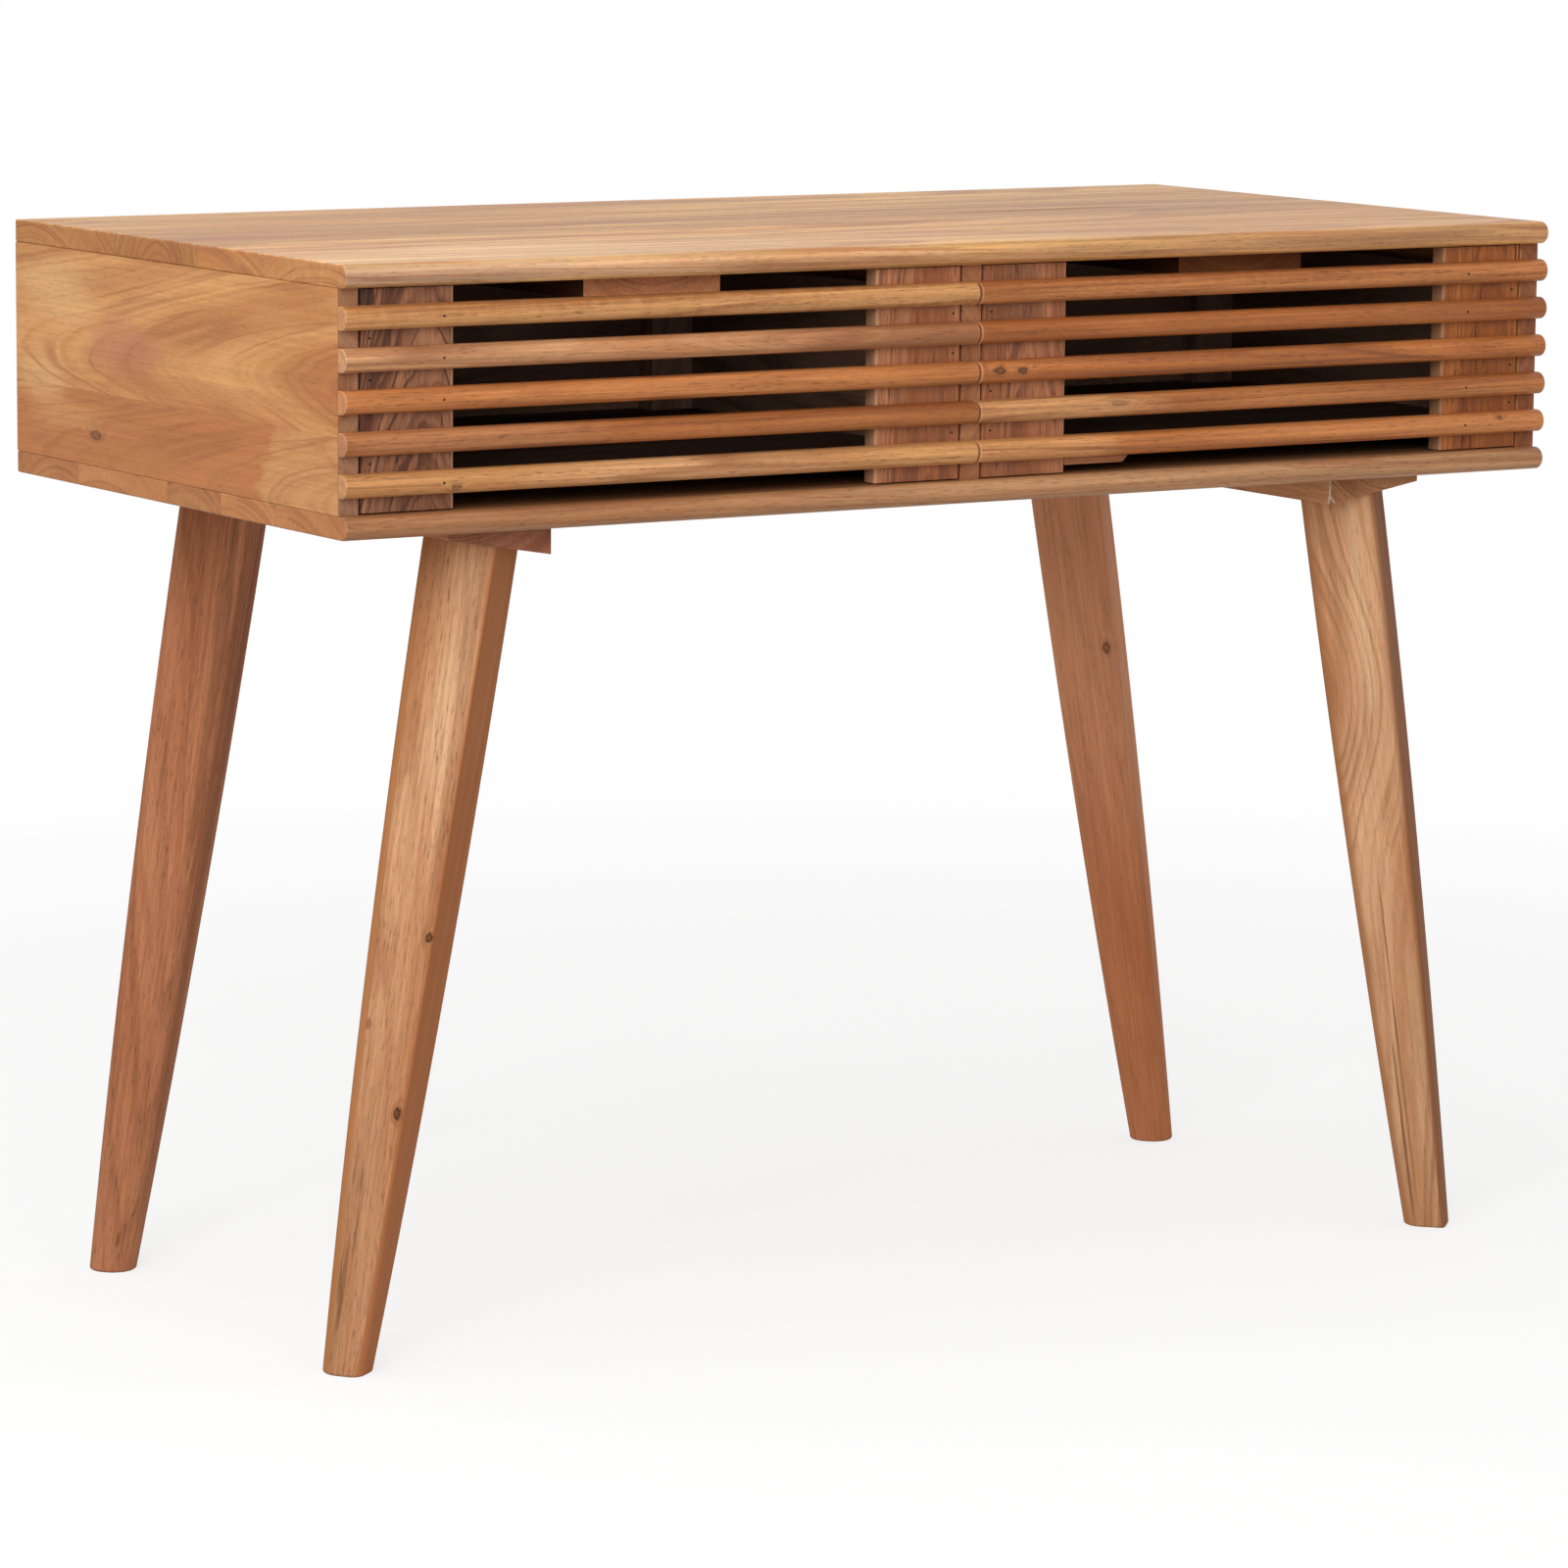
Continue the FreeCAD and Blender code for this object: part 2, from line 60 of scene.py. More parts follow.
class Wire:
    """A number socket that adds Math nodes as it takes part in an expression."""

    def __init__(self, graph: "Graph", socket: bpy.types.NodeSocket) -> None:
        """Keeps the socket and the graph that it belongs to."""
        self.graph = graph
        self.socket = socket

    def _math(self, operation: str, *values: "Wire | float") -> "Wire":
        """Adds one Math node.

        Args:
            operation: The node's operation.
            values: The values or wires of its sockets, in order.

        Returns:
            The node's result.
        """
        inputs = dict(enumerate(values))
        return self.graph.wire(self.graph.node("ShaderNodeMath", {"operation": operation}, inputs))

    def __add__(self, other: "Wire | float") -> "Wire":
        """Adds a value."""
        return self._math("ADD", self, other)

    def __radd__(self, other: float) -> "Wire":
        """Is added to a number."""
        return self._math("ADD", other, self)

    def __sub__(self, other: "Wire | float") -> "Wire":
        """Takes a value off."""
        return self._math("SUBTRACT", self, other)

    def __rsub__(self, other: float) -> "Wire":
        """Is taken off a number."""
        return self._math("SUBTRACT", other, self)

    def __mul__(self, other: "Wire | float") -> "Wire":
        """Multiplies by a value."""
        return self._math("MULTIPLY", self, other)

    def __rmul__(self, other: float) -> "Wire":
        """Multiplies a number."""
        return self._math("MULTIPLY", other, self)

    def __truediv__(self, other: "Wire | float") -> "Wire":
        """Divides by a value."""
        return self._math("DIVIDE", self, other)

    def __pow__(self, other: "Wire | float") -> "Wire":
        """Raises to a power."""
        return self._math("POWER", self, other)

    def __abs__(self) -> "Wire":
        """Drops the sign."""
        return self._math("ABSOLUTE", self)

    def fraction(self) -> "Wire":
        """The part after the point."""
        return self._math("FRACT", self)

    def whole(self) -> "Wire":
        """The whole number below."""
        return self._math("FLOOR", self)

    def most(self, other: "Wire | float") -> "Wire":
        """The larger of two values."""
        return self._math("MAXIMUM", self, other)

    def exponent(self) -> "Wire":
        """The exponential."""
        return self._math("EXPONENT", self)

    def rise(self, low: float, high: float) -> "Wire":
        """A smooth step.

        Args:
            low: Where the step starts, at 0.
            high: Where the step ends, at 1.

        Returns:
            The step's height.
        """
        settings = {"interpolation_type": "SMOOTHSTEP"}
        inputs = {"Value": self, "From Min": low, "From Max": high}
        return self.graph.wire(self.graph.node("ShaderNodeMapRange", settings, inputs))

    def fall(self, low: float, high: float) -> "Wire":
        """A smooth step down from 1."""
        return 1.0 - self.rise(low, high)


Number = Wire | float


class Blend(Enum):
    """How one colour goes over another."""

    MIX = "MIX"
    MULTIPLY = "MULTIPLY"


@dataclass(frozen=True)
class Noise:
    """Smooth noise: a feature's length on each axis, the noise's own seed, and its finer layers."""

    size: Triple
    seed: float
    detail: float = 2.0
    roughness: float = 0.5

    def times(self, factor: float) -> "Noise":
        """The same noise, its features larger by a factor."""
        length, width, depth = self.size
        return replace(self, size=(length * factor, width * factor, depth * factor))


class Graph:
    """The node tree of one material or of the world."""

    MIX_COLOUR_SOCKETS = {"factor": 0, "first": 6, "second": 7, "result": 2}
    SEED_STEP = (3.7, 1.9, 2.3)
    NOISE_MIDDLE = 0.5

    def __init__(self, tree: bpy.types.NodeTree) -> None:
        """Takes over a tree and empties it."""
        self.tree = tree
        tree.nodes.clear()

    def node(
        self,
        kind: str,
        settings: Mapping[str, object] | None = None,
        inputs: Mapping[str | int, object] | None = None,
    ) -> bpy.types.Node:
        """Adds a node.

        Args:
            kind: The node's type.
            settings: Its properties, which are set first.
            inputs: Values or wires of its sockets, by name or number.

        Returns:
            The new node.
        """
        made = self.tree.nodes.new(kind)
        for name, value in (settings or {}).items():
            setattr(made, name, value)
        for name, value in (inputs or {}).items():
            socket = made.inputs[name]
            if isinstance(value, Wire):
                self.tree.links.new(value.socket, socket)
            elif socket.type == "RGBA":
                socket.default_value = (*value, 1.0)
            else:
                socket.default_value = value
        return made

    def wire(self, node: bpy.types.Node, output: str | int = 0) -> Wire:
        """One output of a node."""
        return Wire(self, node.outputs[output])

    def place(self) -> Wire:
        """The point on the surface, in the desk's own frame."""
        return self.wire(self.node("ShaderNodeTexCoord"), "Object")

    def facing(self) -> Wire:
        """The surface's direction, in the desk's own frame."""
        return self.wire(self.node("ShaderNodeTexCoord"), "Normal")

    def vectors(self, operation: str, *values: Wire | Sequence[float], output: str | int = 0) -> Wire:
        """Adds one Vector Math node.

        Args:
            operation: The node's operation.
            values: The vectors of its sockets, in order.
            output: Which result is wanted.

        Returns:
            The node's result.
        """
        made = self.node("ShaderNodeVectorMath", {"operation": operation}, dict(enumerate(values)))
        return self.wire(made, output)

    def dot(self, first: Wire, second: Sequence[float]) -> Wire:
        """How far a vector reaches along another."""
        return self.vectors("DOT_PRODUCT", first, second, output="Value")

    def scaled(self, vector: Wire, amount: Number) -> Wire:
        """A vector or a colour, times a number."""
        inputs = {0: vector, "Scale": amount}
        return self.wire(self.node("ShaderNodeVectorMath", {"operation": "SCALE"}, inputs))

    def combine(self, x: Number, y: Number, z: Number) -> Wire:
        """A vector from three values."""
        return self.wire(self.node("ShaderNodeCombineXYZ", None, {"X": x, "Y": y, "Z": z}))

    def noise(self, space: Wire, layer: Noise, seed: float = 0.0) -> Wire:
        """Draws smooth noise, about 0.5.

        Args:
            space: The coordinates that it is drawn in.
            layer: The noise.
            seed: Sets one piece apart from the others.

        Returns:
            The noise at the surface point.
        """
        scale = tuple(1.0 / length for length in layer.size)
        offset = tuple((seed + layer.seed) * step for step in self.SEED_STEP)
        spot = self.vectors("MULTIPLY_ADD", space, scale, offset)
        inputs = {"Vector": spot, "Scale": 1.0, "Detail": layer.detail, "Roughness": layer.roughness}
        return self.wire(self.node("ShaderNodeTexNoise", None, inputs), "Fac")

    def swing(self, space: Wire, layer: Noise, seed: float) -> Wire:
        """Smooth noise, about 0."""
        return self.noise(space, layer, seed) - self.NOISE_MIDDLE

    def chance(self, value: Wire) -> Wire:
        """A random share that goes with each whole number."""
        made = self.node("ShaderNodeTexWhiteNoise", {"noise_dimensions": "1D"}, {"W": value})
        return self.wire(made, "Value")

    def mix(
        self, first: Wire | Triple, second: Wire | Triple, factor: Number, blend: Blend = Blend.MIX
    ) -> Wire:
        """Mixes two colours.

        Args:
            first: The colour at 0.
            second: The colour at 1.
            factor: How much of the second.
            blend: How the second goes over the first.

        Returns:
            The mixed colour.
        """
        slots = self.MIX_COLOUR_SOCKETS
        settings = {"data_type": "RGBA", "blend_type": blend.value}
        inputs = {slots["factor"]: factor, slots["first"]: first, slots["second"]: second}
        return self.wire(self.node("ShaderNodeMix", settings, inputs), slots["result"])

    def surface(self, relief: float, depth: float, height: Wire, inputs: Mapping[str, object]) -> None:
        """Ends a material in one shader with a fine relief.

        Args:
            relief: How strongly the relief shows.
            depth: How deep it is, in metres.
            height: The relief.
            inputs: What feeds the shader.
        """
        bump_inputs = {"Strength": relief, "Distance": depth, "Height": height}
        normal = self.wire(self.node("ShaderNodeBump", None, bump_inputs))
        shader = self.node("ShaderNodeBsdfPrincipled", None, {**inputs, "Normal": normal})
        self.node("ShaderNodeOutputMaterial", None, {"Surface": self.wire(shader)})


def new_material(name: str) -> tuple[bpy.types.Material, Graph]:
    """Starts a material.

    Args:
        name: The material's name.

    Returns:
        The material and its empty graph.
    """
    material = bpy.data.materials.new(name)
    material.use_nodes = True
    return material, Graph(material.node_tree)


# Wood

@dataclass(frozen=True)
class Palette:
    """The linear colours of one timber."""

    pale: Triple
    deep: Triple
    heart: Triple
    line: Triple
    pore: Triple


class Timber(Enum):
    """The timbers of the desk, named by their tone."""

    BLOND = Palette((0.755, 0.400, 0.128), (0.565, 0.262, 0.076), (0.490, 0.194, 0.060),
                    (0.340, 0.132, 0.048), (0.180, 0.074, 0.034))
    PEACH = Palette((0.670, 0.372, 0.200), (0.500, 0.232, 0.108), (0.440, 0.168, 0.074),
                    (0.300, 0.120, 0.054), (0.170, 0.070, 0.036))
    TAN = Palette((0.640, 0.325, 0.148), (0.465, 0.200, 0.080), (0.420, 0.152, 0.062),
                  (0.280, 0.105, 0.043), (0.150, 0.058, 0.028))
    HONEY = Palette((0.640, 0.310, 0.112), (0.470, 0.192, 0.060), (0.440, 0.152, 0.046),
                    (0.310, 0.110, 0.038), (0.170, 0.063, 0.026))
    AMBER = Palette((0.560, 0.208, 0.064), (0.410, 0.132, 0.034), (0.340, 0.100, 0.030),
                    (0.240, 0.074, 0.024), (0.140, 0.045, 0.018))
    RUSSET = Palette((0.450, 0.152, 0.040), (0.315, 0.094, 0.022), (0.260, 0.073, 0.024),
                     (0.180, 0.054, 0.020), (0.105, 0.036, 0.016))
    ROSE = Palette((0.460, 0.186, 0.084), (0.335, 0.118, 0.047), (0.285, 0.092, 0.038),
                   (0.185, 0.064, 0.032), (0.110, 0.042, 0.023))
    CLAY = Palette((0.500, 0.218, 0.110), (0.380, 0.145, 0.068), (0.310, 0.105, 0.048),
                   (0.200, 0.072, 0.036), (0.120, 0.046, 0.026))
    UMBER = Palette((0.380, 0.172, 0.086), (0.230, 0.088, 0.041), (0.190, 0.066, 0.031),
                    (0.095, 0.034, 0.018), (0.065, 0.025, 0.014))
    # A dark wood, darkened further as painted shade for the inside of the drawers.
    SHADED_DUSK = Palette((0.210, 0.118, 0.076), (0.120, 0.062, 0.040), (0.100, 0.048, 0.030),
                   (0.050, 0.025, 0.016), (0.035, 0.018, 0.012))


class Lay(Enum):
    """Which way a piece's grain runs, and then which way its width lies."""

    ALONG_DESK = (X_WAY, Y_WAY)
    ALONG_DESK_UPRIGHT = (X_WAY, Z_WAY)
    FRONT_TO_BACK_FLAT = (Y_WAY, X_WAY)
    FRONT_TO_BACK = (Y_WAY, Z_WAY)
    UPRIGHT = (Z_WAY, X_WAY)


@dataclass(frozen=True)
class Grain:
    """The frame that a piece's figure is drawn in, its origin in metres."""

    origin: Vector
    along: Vector
    across: Vector

    @property
    def depth(self) -> Vector:
        """The way through the piece."""
        return self.along.cross(self.across)

    @classmethod
    def of_node(cls, node: str, lay: Lay) -> "Grain":
        """The grain of a straight piece.

        Args:
            node: The piece.
            lay: Which way its grain runs.

        Returns:
            A frame at the piece's middle.
        """
        low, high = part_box(node)
        along, across = lay.value
        return cls((low + high) / 2, Vector(along), Vector(across))


@dataclass(frozen=True)
class Plank:
    """One plank of a board, in millimetres from the board's middle."""

    pith_across: float = 0.0
    pith_depth: float = -60.0
    shift: float = 0.0
    shade: float = 1.0
    heart_radius: float = 0.0


@dataclass(frozen=True)
class Spot:
    """The surface point in a piece's grain, in millimetres.

    The space has all three places, shifted plank by plank, and the pick gives a value of the plank there.
    """

    graph: Graph
    along: Wire
    across: Wire
    depth: Wire
    space: Wire
    seed: float
    pick: Callable[[Callable[[Plank], float]], Number]

    def noise(self, layer: Noise) -> Wire:
        """Noise in the piece's own space."""
        return self.graph.noise(self.space, layer, self.seed)

    def swing(self, layer: Noise) -> Wire:
        """Noise in the piece's own space, about 0."""
        return self.graph.swing(self.space, layer, self.seed)


@dataclass(frozen=True)
class Mark:
    """A spot on a piece, by its place and half sizes in millimetres."""

    along: float
    across: float
    length: float
    width: float

    def reach(self, spot: Spot) -> Wire:
        """How far a point is from the mark's middle, with its edge at 1."""
        off_along = (spot.along - self.along) / self.length
        off_across = (spot.across - self.across) / self.width
        return (off_along * off_along + off_across * off_across) ** 0.5


@dataclass(frozen=True)
class Knot(Mark):
    """A knot, which the rings swell round, and its place through the piece where only one side shows it."""

    strength: float = 1.0
    swell: float = 1.6
    depth: float | None = None

    def reach(self, spot: Spot) -> Wire:
        """How far a point is from the knot's middle, also through the piece where that counts."""
        flat = super().reach(spot)
        if self.depth is None:
            return flat
        off_depth = (spot.depth - self.depth) / self.width
        return (flat * flat + off_depth * off_depth) ** 0.5


@dataclass(frozen=True)
class Patch(Mark):
    """A tinted patch."""

    tint: Triple
    strength: float = 0.7
    streaks: float = 0.0
    softness: float = 0.3


@dataclass(frozen=True)
class Cloud(Patch):
    """A tinted patch that fades out softly."""

    softness: float = 0.5


@dataclass(frozen=True)
class ShadedSide:
    """A side of a leg past a plane through its axis, toned darker as painted shade, partly as its own tone.

    The slopes are those of the plane, from the side that shows most, and the softness is in millimetres.
    """

    tint: Triple
    side: float
    foot_slope: float = 1.0
    top_slope: float = 1.0
    foot_softness: float = 0.6
    top_softness: float = 0.6
    line: float = 0.0
    length: float = 565.0

    def past_edge(self, spot: Spot) -> Wire:
        """How far a point lies past the edge of the shaded side.

        Args:
            spot: The point, from the leg's foot and towards the side that shows most.

        Returns:
            The distance over the softness there.
        """
        height = spot.along / self.length
        slope = self.foot_slope + height * (self.top_slope - self.foot_slope)
        softness = self.foot_softness + height * (self.top_softness - self.foot_softness)
        return (spot.across * self.side - spot.depth * slope) / softness


@dataclass(frozen=True)
class Rim:
    """A paler worn edge at both ends or at one side of a piece, or, multiplied in, an edge painted darker as
    shade, from its middle in millimetres.
    """

    ends_at: float = 0.0
    side_at: float = 0.0
    strength: float = 0.45
    colour: Triple = (0.640, 0.380, 0.215)
    blend: Blend = Blend.MIX

    END_WEAR = (1.6, 0.3)
    SIDE_WEAR_OR_SHADE = (3.2, 0.4)

    def worn_or_shaded(self, spot: Spot) -> Wire:
        """How far a point lies in the worn edge, or in the edge painted as shade, from 0 to 1."""
        if self.ends_at:
            return abs(spot.along).rise(*(self.ends_at - inset for inset in self.END_WEAR))
        outwards = spot.across * math.copysign(1.0, self.side_at)
        return outwards.rise(*(abs(self.side_at) - inset for inset in self.SIDE_WEAR_OR_SHADE))


@dataclass(frozen=True)
class Wood:
    """A wood finish: figure, pores, marks and polish, with sizes in millimetres."""

    timber: Timber
    seed: float
    planks: tuple[Plank, ...] = (Plank(),)
    seams: tuple[float, ...] = ()
    seam_depth: float = 0.55
    ring_width: float = 7.0
    taper: float = 0.05
    wander: float = 28.0
    waver: float = 3.0
    rings: float = 0.40
    bands: float = 1.0
    band_width: float = 17.0
    streaks: float = 0.35
    veins: float = 0.5
    pores: float = 0.55
    pore_size: float = 1.0
    fibres: float = 0.60
    fibre_width: float = 2.4
    ripple: float = 0.0
    end_tint: Triple = (0.78, 0.70, 0.66)
    end_calm: float = 0.0
    roughness: float = 0.46
    relief: float = 0.3
    sheen: float = 0.28
    # Painted shade on the sides of a leg.
    shaded_sides: tuple[ShadedSide, ...] = ()
    knots: tuple[Knot, ...] = ()
    patches: tuple[Patch, ...] = ()
    rim: Rim | None = None

    FIBRE = Noise((70.0, 1.0, 1.0), 1.0, 4.0, 0.62)
    STREAK = Noise((2.6, 420.0, 1.0), 2.0, 3.0, 0.6)
    STREAK_EDGE = (0.54, 0.64)
    PORE = Noise((10.0, 0.9, 0.9), 3.0, 1.0)
    PORE_EDGE = (0.58, 0.67)
    PORE_EARLY = 0.45
    WANDER = Noise((520.0, 110.0, 110.0), 4.0, 1.0)
    WAVER = Noise((110.0, 24.0, 24.0), 5.0)
    BAND_SEED = 6.0
    BAND_LENGTH = 1300.0
    BAND_GAIN = 1.8
    CLOUD = Noise((240.0, 48.0, 48.0), 7.0)
    CLOUD_GAIN = 0.9
    TONE_EDGE = (0.20, 0.80)
    SHIMMER = Noise((7.0, 26.0, 26.0), 8.0)
    VEIN = Noise((13.0, 620.0, 1.0), 9.0)
    VEIN_EDGE = (0.0, 0.045)
    VEIN_CLOUD = (-0.12, 0.10)
    HEART_WAVE = 30.0
    HEART_EDGE = (-6.0, 12.0)
    HEART_STRENGTH = 0.85

    RING_FADE_IN = (0.45, 0.92)
    RING_FADE_OUT = (0.93, 1.0)
    FAINTEST_RING = 0.12
    RAGGED = Noise((64.0, 20.0, 20.0), 10.0, 4.0, 0.6)
    RAGGED_GAIN = 1.5
    PATCH_EDGE = 0.80
    PATCH_STREAK = (0.48, 0.62)
    SHADED_SIDE_FIBRE = (0.55, 0.5)
    SHADED_SIDE_LINE = (0.3, 1.2)
    SHADED_SIDE_CLOUD = (-0.2, 0.1)
    SEAM_HALF = 0.15
    SEAM_LINE = (0.1, 0.45)
    END_EDGE = (0.55, 0.92)

    LUMP = Noise((6.0, 3.0, 3.0), 11.0, 3.0, 0.6)
    LUMP_GAIN = 1.6
    KNOT_SWELL = -0.22
    KNOT_COLOUR = (0.120, 0.043, 0.017)
    KNOT_HALO = (0.9, 2.6)
    KNOT_HALO_STRENGTH = 0.35
    KNOT_CORE = (0.75, 1.0)
    KNOT_RING_IN = (0.55, 0.85)
    KNOT_RING_OUT = (0.95, 1.3)
    KNOT_RING_COLOUR = (0.042, 0.016, 0.007)
    KNOT_STRENGTH = 0.75

    LATE_ROUGHNESS = 0.12
    PORE_ROUGHNESS = 0.18
    END_ROUGHNESS = 0.15
    FIBRE_HEIGHT = 0.45
    LATE_HEIGHT = 0.25
    PORE_DROP = 0.8
    SEAM_DROP = 0.8
    RELIEF_DEPTH = 0.0003

    def material(self, name: str, grain: Grain) -> bpy.types.Material:
        """Makes the finish for one piece.

        Args:
            name: The material's name.
            grain: Where the figure is drawn.

        Returns:
            The material.
        """
        material, graph = new_material(name)
        palette = self.timber.value
        spot = self._spot(graph, grain)
        knots = self._knot_reaches(spot)
        radius = self._ring_radius(spot, knots)
        line = graph.combine(radius, spot.along, self.seed)
        late = self._late_wood(graph, radius)
        fibre = spot.noise(self.FIBRE.times(self.fibre_width))
        pore = spot.noise(self.PORE.times(self.pore_size)).rise(*self.PORE_EDGE)
        pores = pore * (self.PORE_EARLY + (1.0 - self.PORE_EARLY) * late)
        streak = graph.noise(line, self.STREAK, self.seed).rise(*self.STREAK_EDGE)
        cloud = spot.swing(self.CLOUD)
        vein = abs(graph.swing(line, self.VEIN, self.seed)).fall(*self.VEIN_EDGE)
        veins = vein * cloud.rise(*self.VEIN_CLOUD)
        end = abs(graph.dot(graph.facing(), tuple(grain.along))).rise(*self.END_EDGE)

        colour = self._body_colour(spot, line, radius, cloud)
        colour = self._patched(spot, colour, fibre)
        colour = graph.scaled(colour, 1.0 - graph.NOISE_MIDDLE * self.fibres + self.fibres * fibre)
        if self.end_calm:
            colour = graph.mix(colour, palette.deep, end * self.end_calm)
        colour = graph.mix(colour, palette.line, late * self.rings)
        colour = graph.mix(colour, palette.heart, streak * self.streaks)
        colour = graph.mix(colour, palette.line, veins * self.veins)
        colour = graph.mix(colour, palette.pore, pores * self.pores)
        # Painted shade on the sides of a leg.
        colour = self._side_shaded(spot, colour, fibre, cloud)
        colour = self._marked(spot, colour, knots)
        colour = graph.mix(colour, self.end_tint, end, Blend.MULTIPLY)
        colour = graph.scaled(colour, spot.pick(lambda plank: plank.shade))
        height = self.FIBRE_HEIGHT * fibre + self.LATE_HEIGHT * late - self.PORE_DROP * pores
        seam = self._seam_line(spot)
        if seam is not None:
            colour = graph.mix(colour, palette.pore, seam * self.seam_depth)
            height = height - self.SEAM_DROP * seam

        roughness = self.roughness + self.LATE_ROUGHNESS * late + self.PORE_ROUGHNESS * pores
        roughness = roughness + self.END_ROUGHNESS * end
        inputs = {"Base Color": colour, "Roughness": roughness, "Specular IOR Level": self.sheen}
        graph.surface(self.relief, self.RELIEF_DEPTH, height, inputs)
        return material

    def _spot(self, graph: Graph, grain: Grain) -> Spot:
        """Finds the surface point in the piece's grain.

        Args:
            graph: The material's graph.
            grain: Where the figure is drawn.

        Returns:
            The point.
        """
        local = graph.vectors("SUBTRACT", graph.place(), tuple(grain.origin))
        ways = (grain.along, grain.across, grain.depth)
        along, across, depth = (graph.dot(local, tuple(way / MILLIMETRE)) for way in ways)
        steps = [across.rise(seam - self.SEAM_HALF, seam + self.SEAM_HALF) for seam in self.seams]

        def pick(wanted: Callable[[Plank], float]) -> Number:
            """One value of the plank at the surface point."""
            values = [wanted(plank) for plank in self.planks]
            total: Number = values[0]
            for step, last, following in zip(steps, values, values[1:]):
                if following != last:
                    total = total + step * (following - last)
            return total

        space = graph.combine(along + pick(lambda plank: plank.shift), across, depth)
        return Spot(graph, along, across, depth, space, self.seed, pick)

    def _knot_reaches(self, spot: Spot) -> list[Wire]:
        """How far a point is from each knot, whose outlines are uneven.

        Args:
            spot: The point.

        Returns:
            The reach of each knot, about 1 at its edge.
        """
        if not self.knots:
            return []
        lump = spot.swing(self.LUMP) * self.LUMP_GAIN
        return [knot.reach(spot) + lump * knot.strength for knot in self.knots]

    def _ring_radius(self, spot: Spot, knots: Iterable[Wire]) -> Wire:
        """The distance from the tree's pith, bent as real rings are.

        Args:
            spot: The point.
            knots: The reach of each knot, which the rings go round.

        Returns:
            The radius, in millimetres.
        """
        wander = spot.swing(self.WANDER)
        waver = spot.swing(self.WAVER)
        side = spot.across - spot.pick(lambda plank: plank.pith_across) + wander * self.wander
        below = spot.depth - spot.pick(lambda plank: plank.pith_depth)
        radius = (side * side + below * below) ** 0.5 + spot.along * self.taper + waver * self.waver
        for knot, reach in zip(self.knots, knots):
            swell = (reach * reach * self.KNOT_SWELL).exponent()
            radius = radius + swell * (knot.swell * self.ring_width)
        return radius

    def _late_wood(self, graph: Graph, radius: Wire) -> Wire:
        """Where the darker late wood of each ring is, some rings darker than others.

        Args:
            graph: The material's graph.
            radius: The distance from the pith.

        Returns:
            How dark the ring is.
        """
        rings = radius / self.ring_width
        ring = rings.fraction()
        share = graph.chance(rings.whole() + self.seed) ** 2.0
        strength = self.FAINTEST_RING + (1.0 - self.FAINTEST_RING) * share
        return ring.rise(*self.RING_FADE_IN) * ring.fall(*self.RING_FADE_OUT) * strength

    def _body_colour(self, spot: Spot, line: Wire, radius: Wire, cloud: Wire) -> Wire:
        """The wood's colour before rings and pores.

        Args:
            spot: The point.
            line: Coordinates that follow the rings.
            radius: The distance from the pith.
            cloud: Broad clouds of tone, about 0.

        Returns:
            The colour.
        """
        graph, palette = spot.graph, self.timber.value
        layer = Noise((self.band_width, self.BAND_LENGTH, 1.0), self.BAND_SEED, 3.0, 0.55)
        band = graph.swing(line, layer, self.seed)
        tone = 0.5 + self.BAND_GAIN * self.bands * band + self.CLOUD_GAIN * cloud
        if self.ripple:
            tone = tone - spot.swing(self.SHIMMER) * self.ripple
        colour = graph.mix(palette.pale, palette.deep, tone.rise(*self.TONE_EDGE))
        if any(plank.heart_radius for plank in self.planks):
            edge = spot.pick(lambda plank: plank.heart_radius) - radius + self.HEART_WAVE * cloud
            colour = graph.mix(colour, palette.heart, edge.rise(*self.HEART_EDGE) * self.HEART_STRENGTH)
        return colour

    def _patched(self, spot: Spot, colour: Wire, fibre: Wire) -> Wire:
        """Adds the tinted patches to a colour.

        Args:
            spot: The point.
            colour: The colour so far.
            fibre: Fine fibres along the grain.

        Returns:
            The colour with its patches.
        """
        if not self.patches:
            return colour
        ragged = spot.swing(self.RAGGED) * self.RAGGED_GAIN
        for patch in self.patches:
            reach = patch.reach(spot) + ragged
            fade = reach.fall(self.PATCH_EDGE - patch.softness, self.PATCH_EDGE + patch.softness)
            cover = fade * patch.strength
            if patch.streaks:
                cover = cover * (1.0 - patch.streaks + patch.streaks * fibre.rise(*self.PATCH_STREAK))
            colour = spot.graph.mix(colour, patch.tint, cover)
        return colour

    def _side_shaded(self, spot: Spot, colour: Wire, fibre: Wire, cloud: Wire) -> Wire:
        """Paints the shade on the sides of a leg.

        Args:
            spot: The point.
            colour: The colour so far.
            fibre: Fine fibres along the grain.
            cloud: Broad clouds of tone, about 0.

        Returns:
            The colour with its painted shade.
        """
        least, more = self.SHADED_SIDE_FIBRE
        # Each side is painted darker as shade past its plane, with a dark line along the edge where one is
        # given.
        for shaded_side in self.shaded_sides:
            past = shaded_side.past_edge(spot)
            colour = spot.graph.mix(colour, shaded_side.tint, past.rise(-1.0, 1.0) * (least + more * fibre))
            if shaded_side.line:
                edge = abs(past).fall(*self.SHADED_SIDE_LINE) * cloud.rise(*self.SHADED_SIDE_CLOUD)
                colour = spot.graph.mix(colour, self.timber.value.line, edge * shaded_side.line)
        return colour

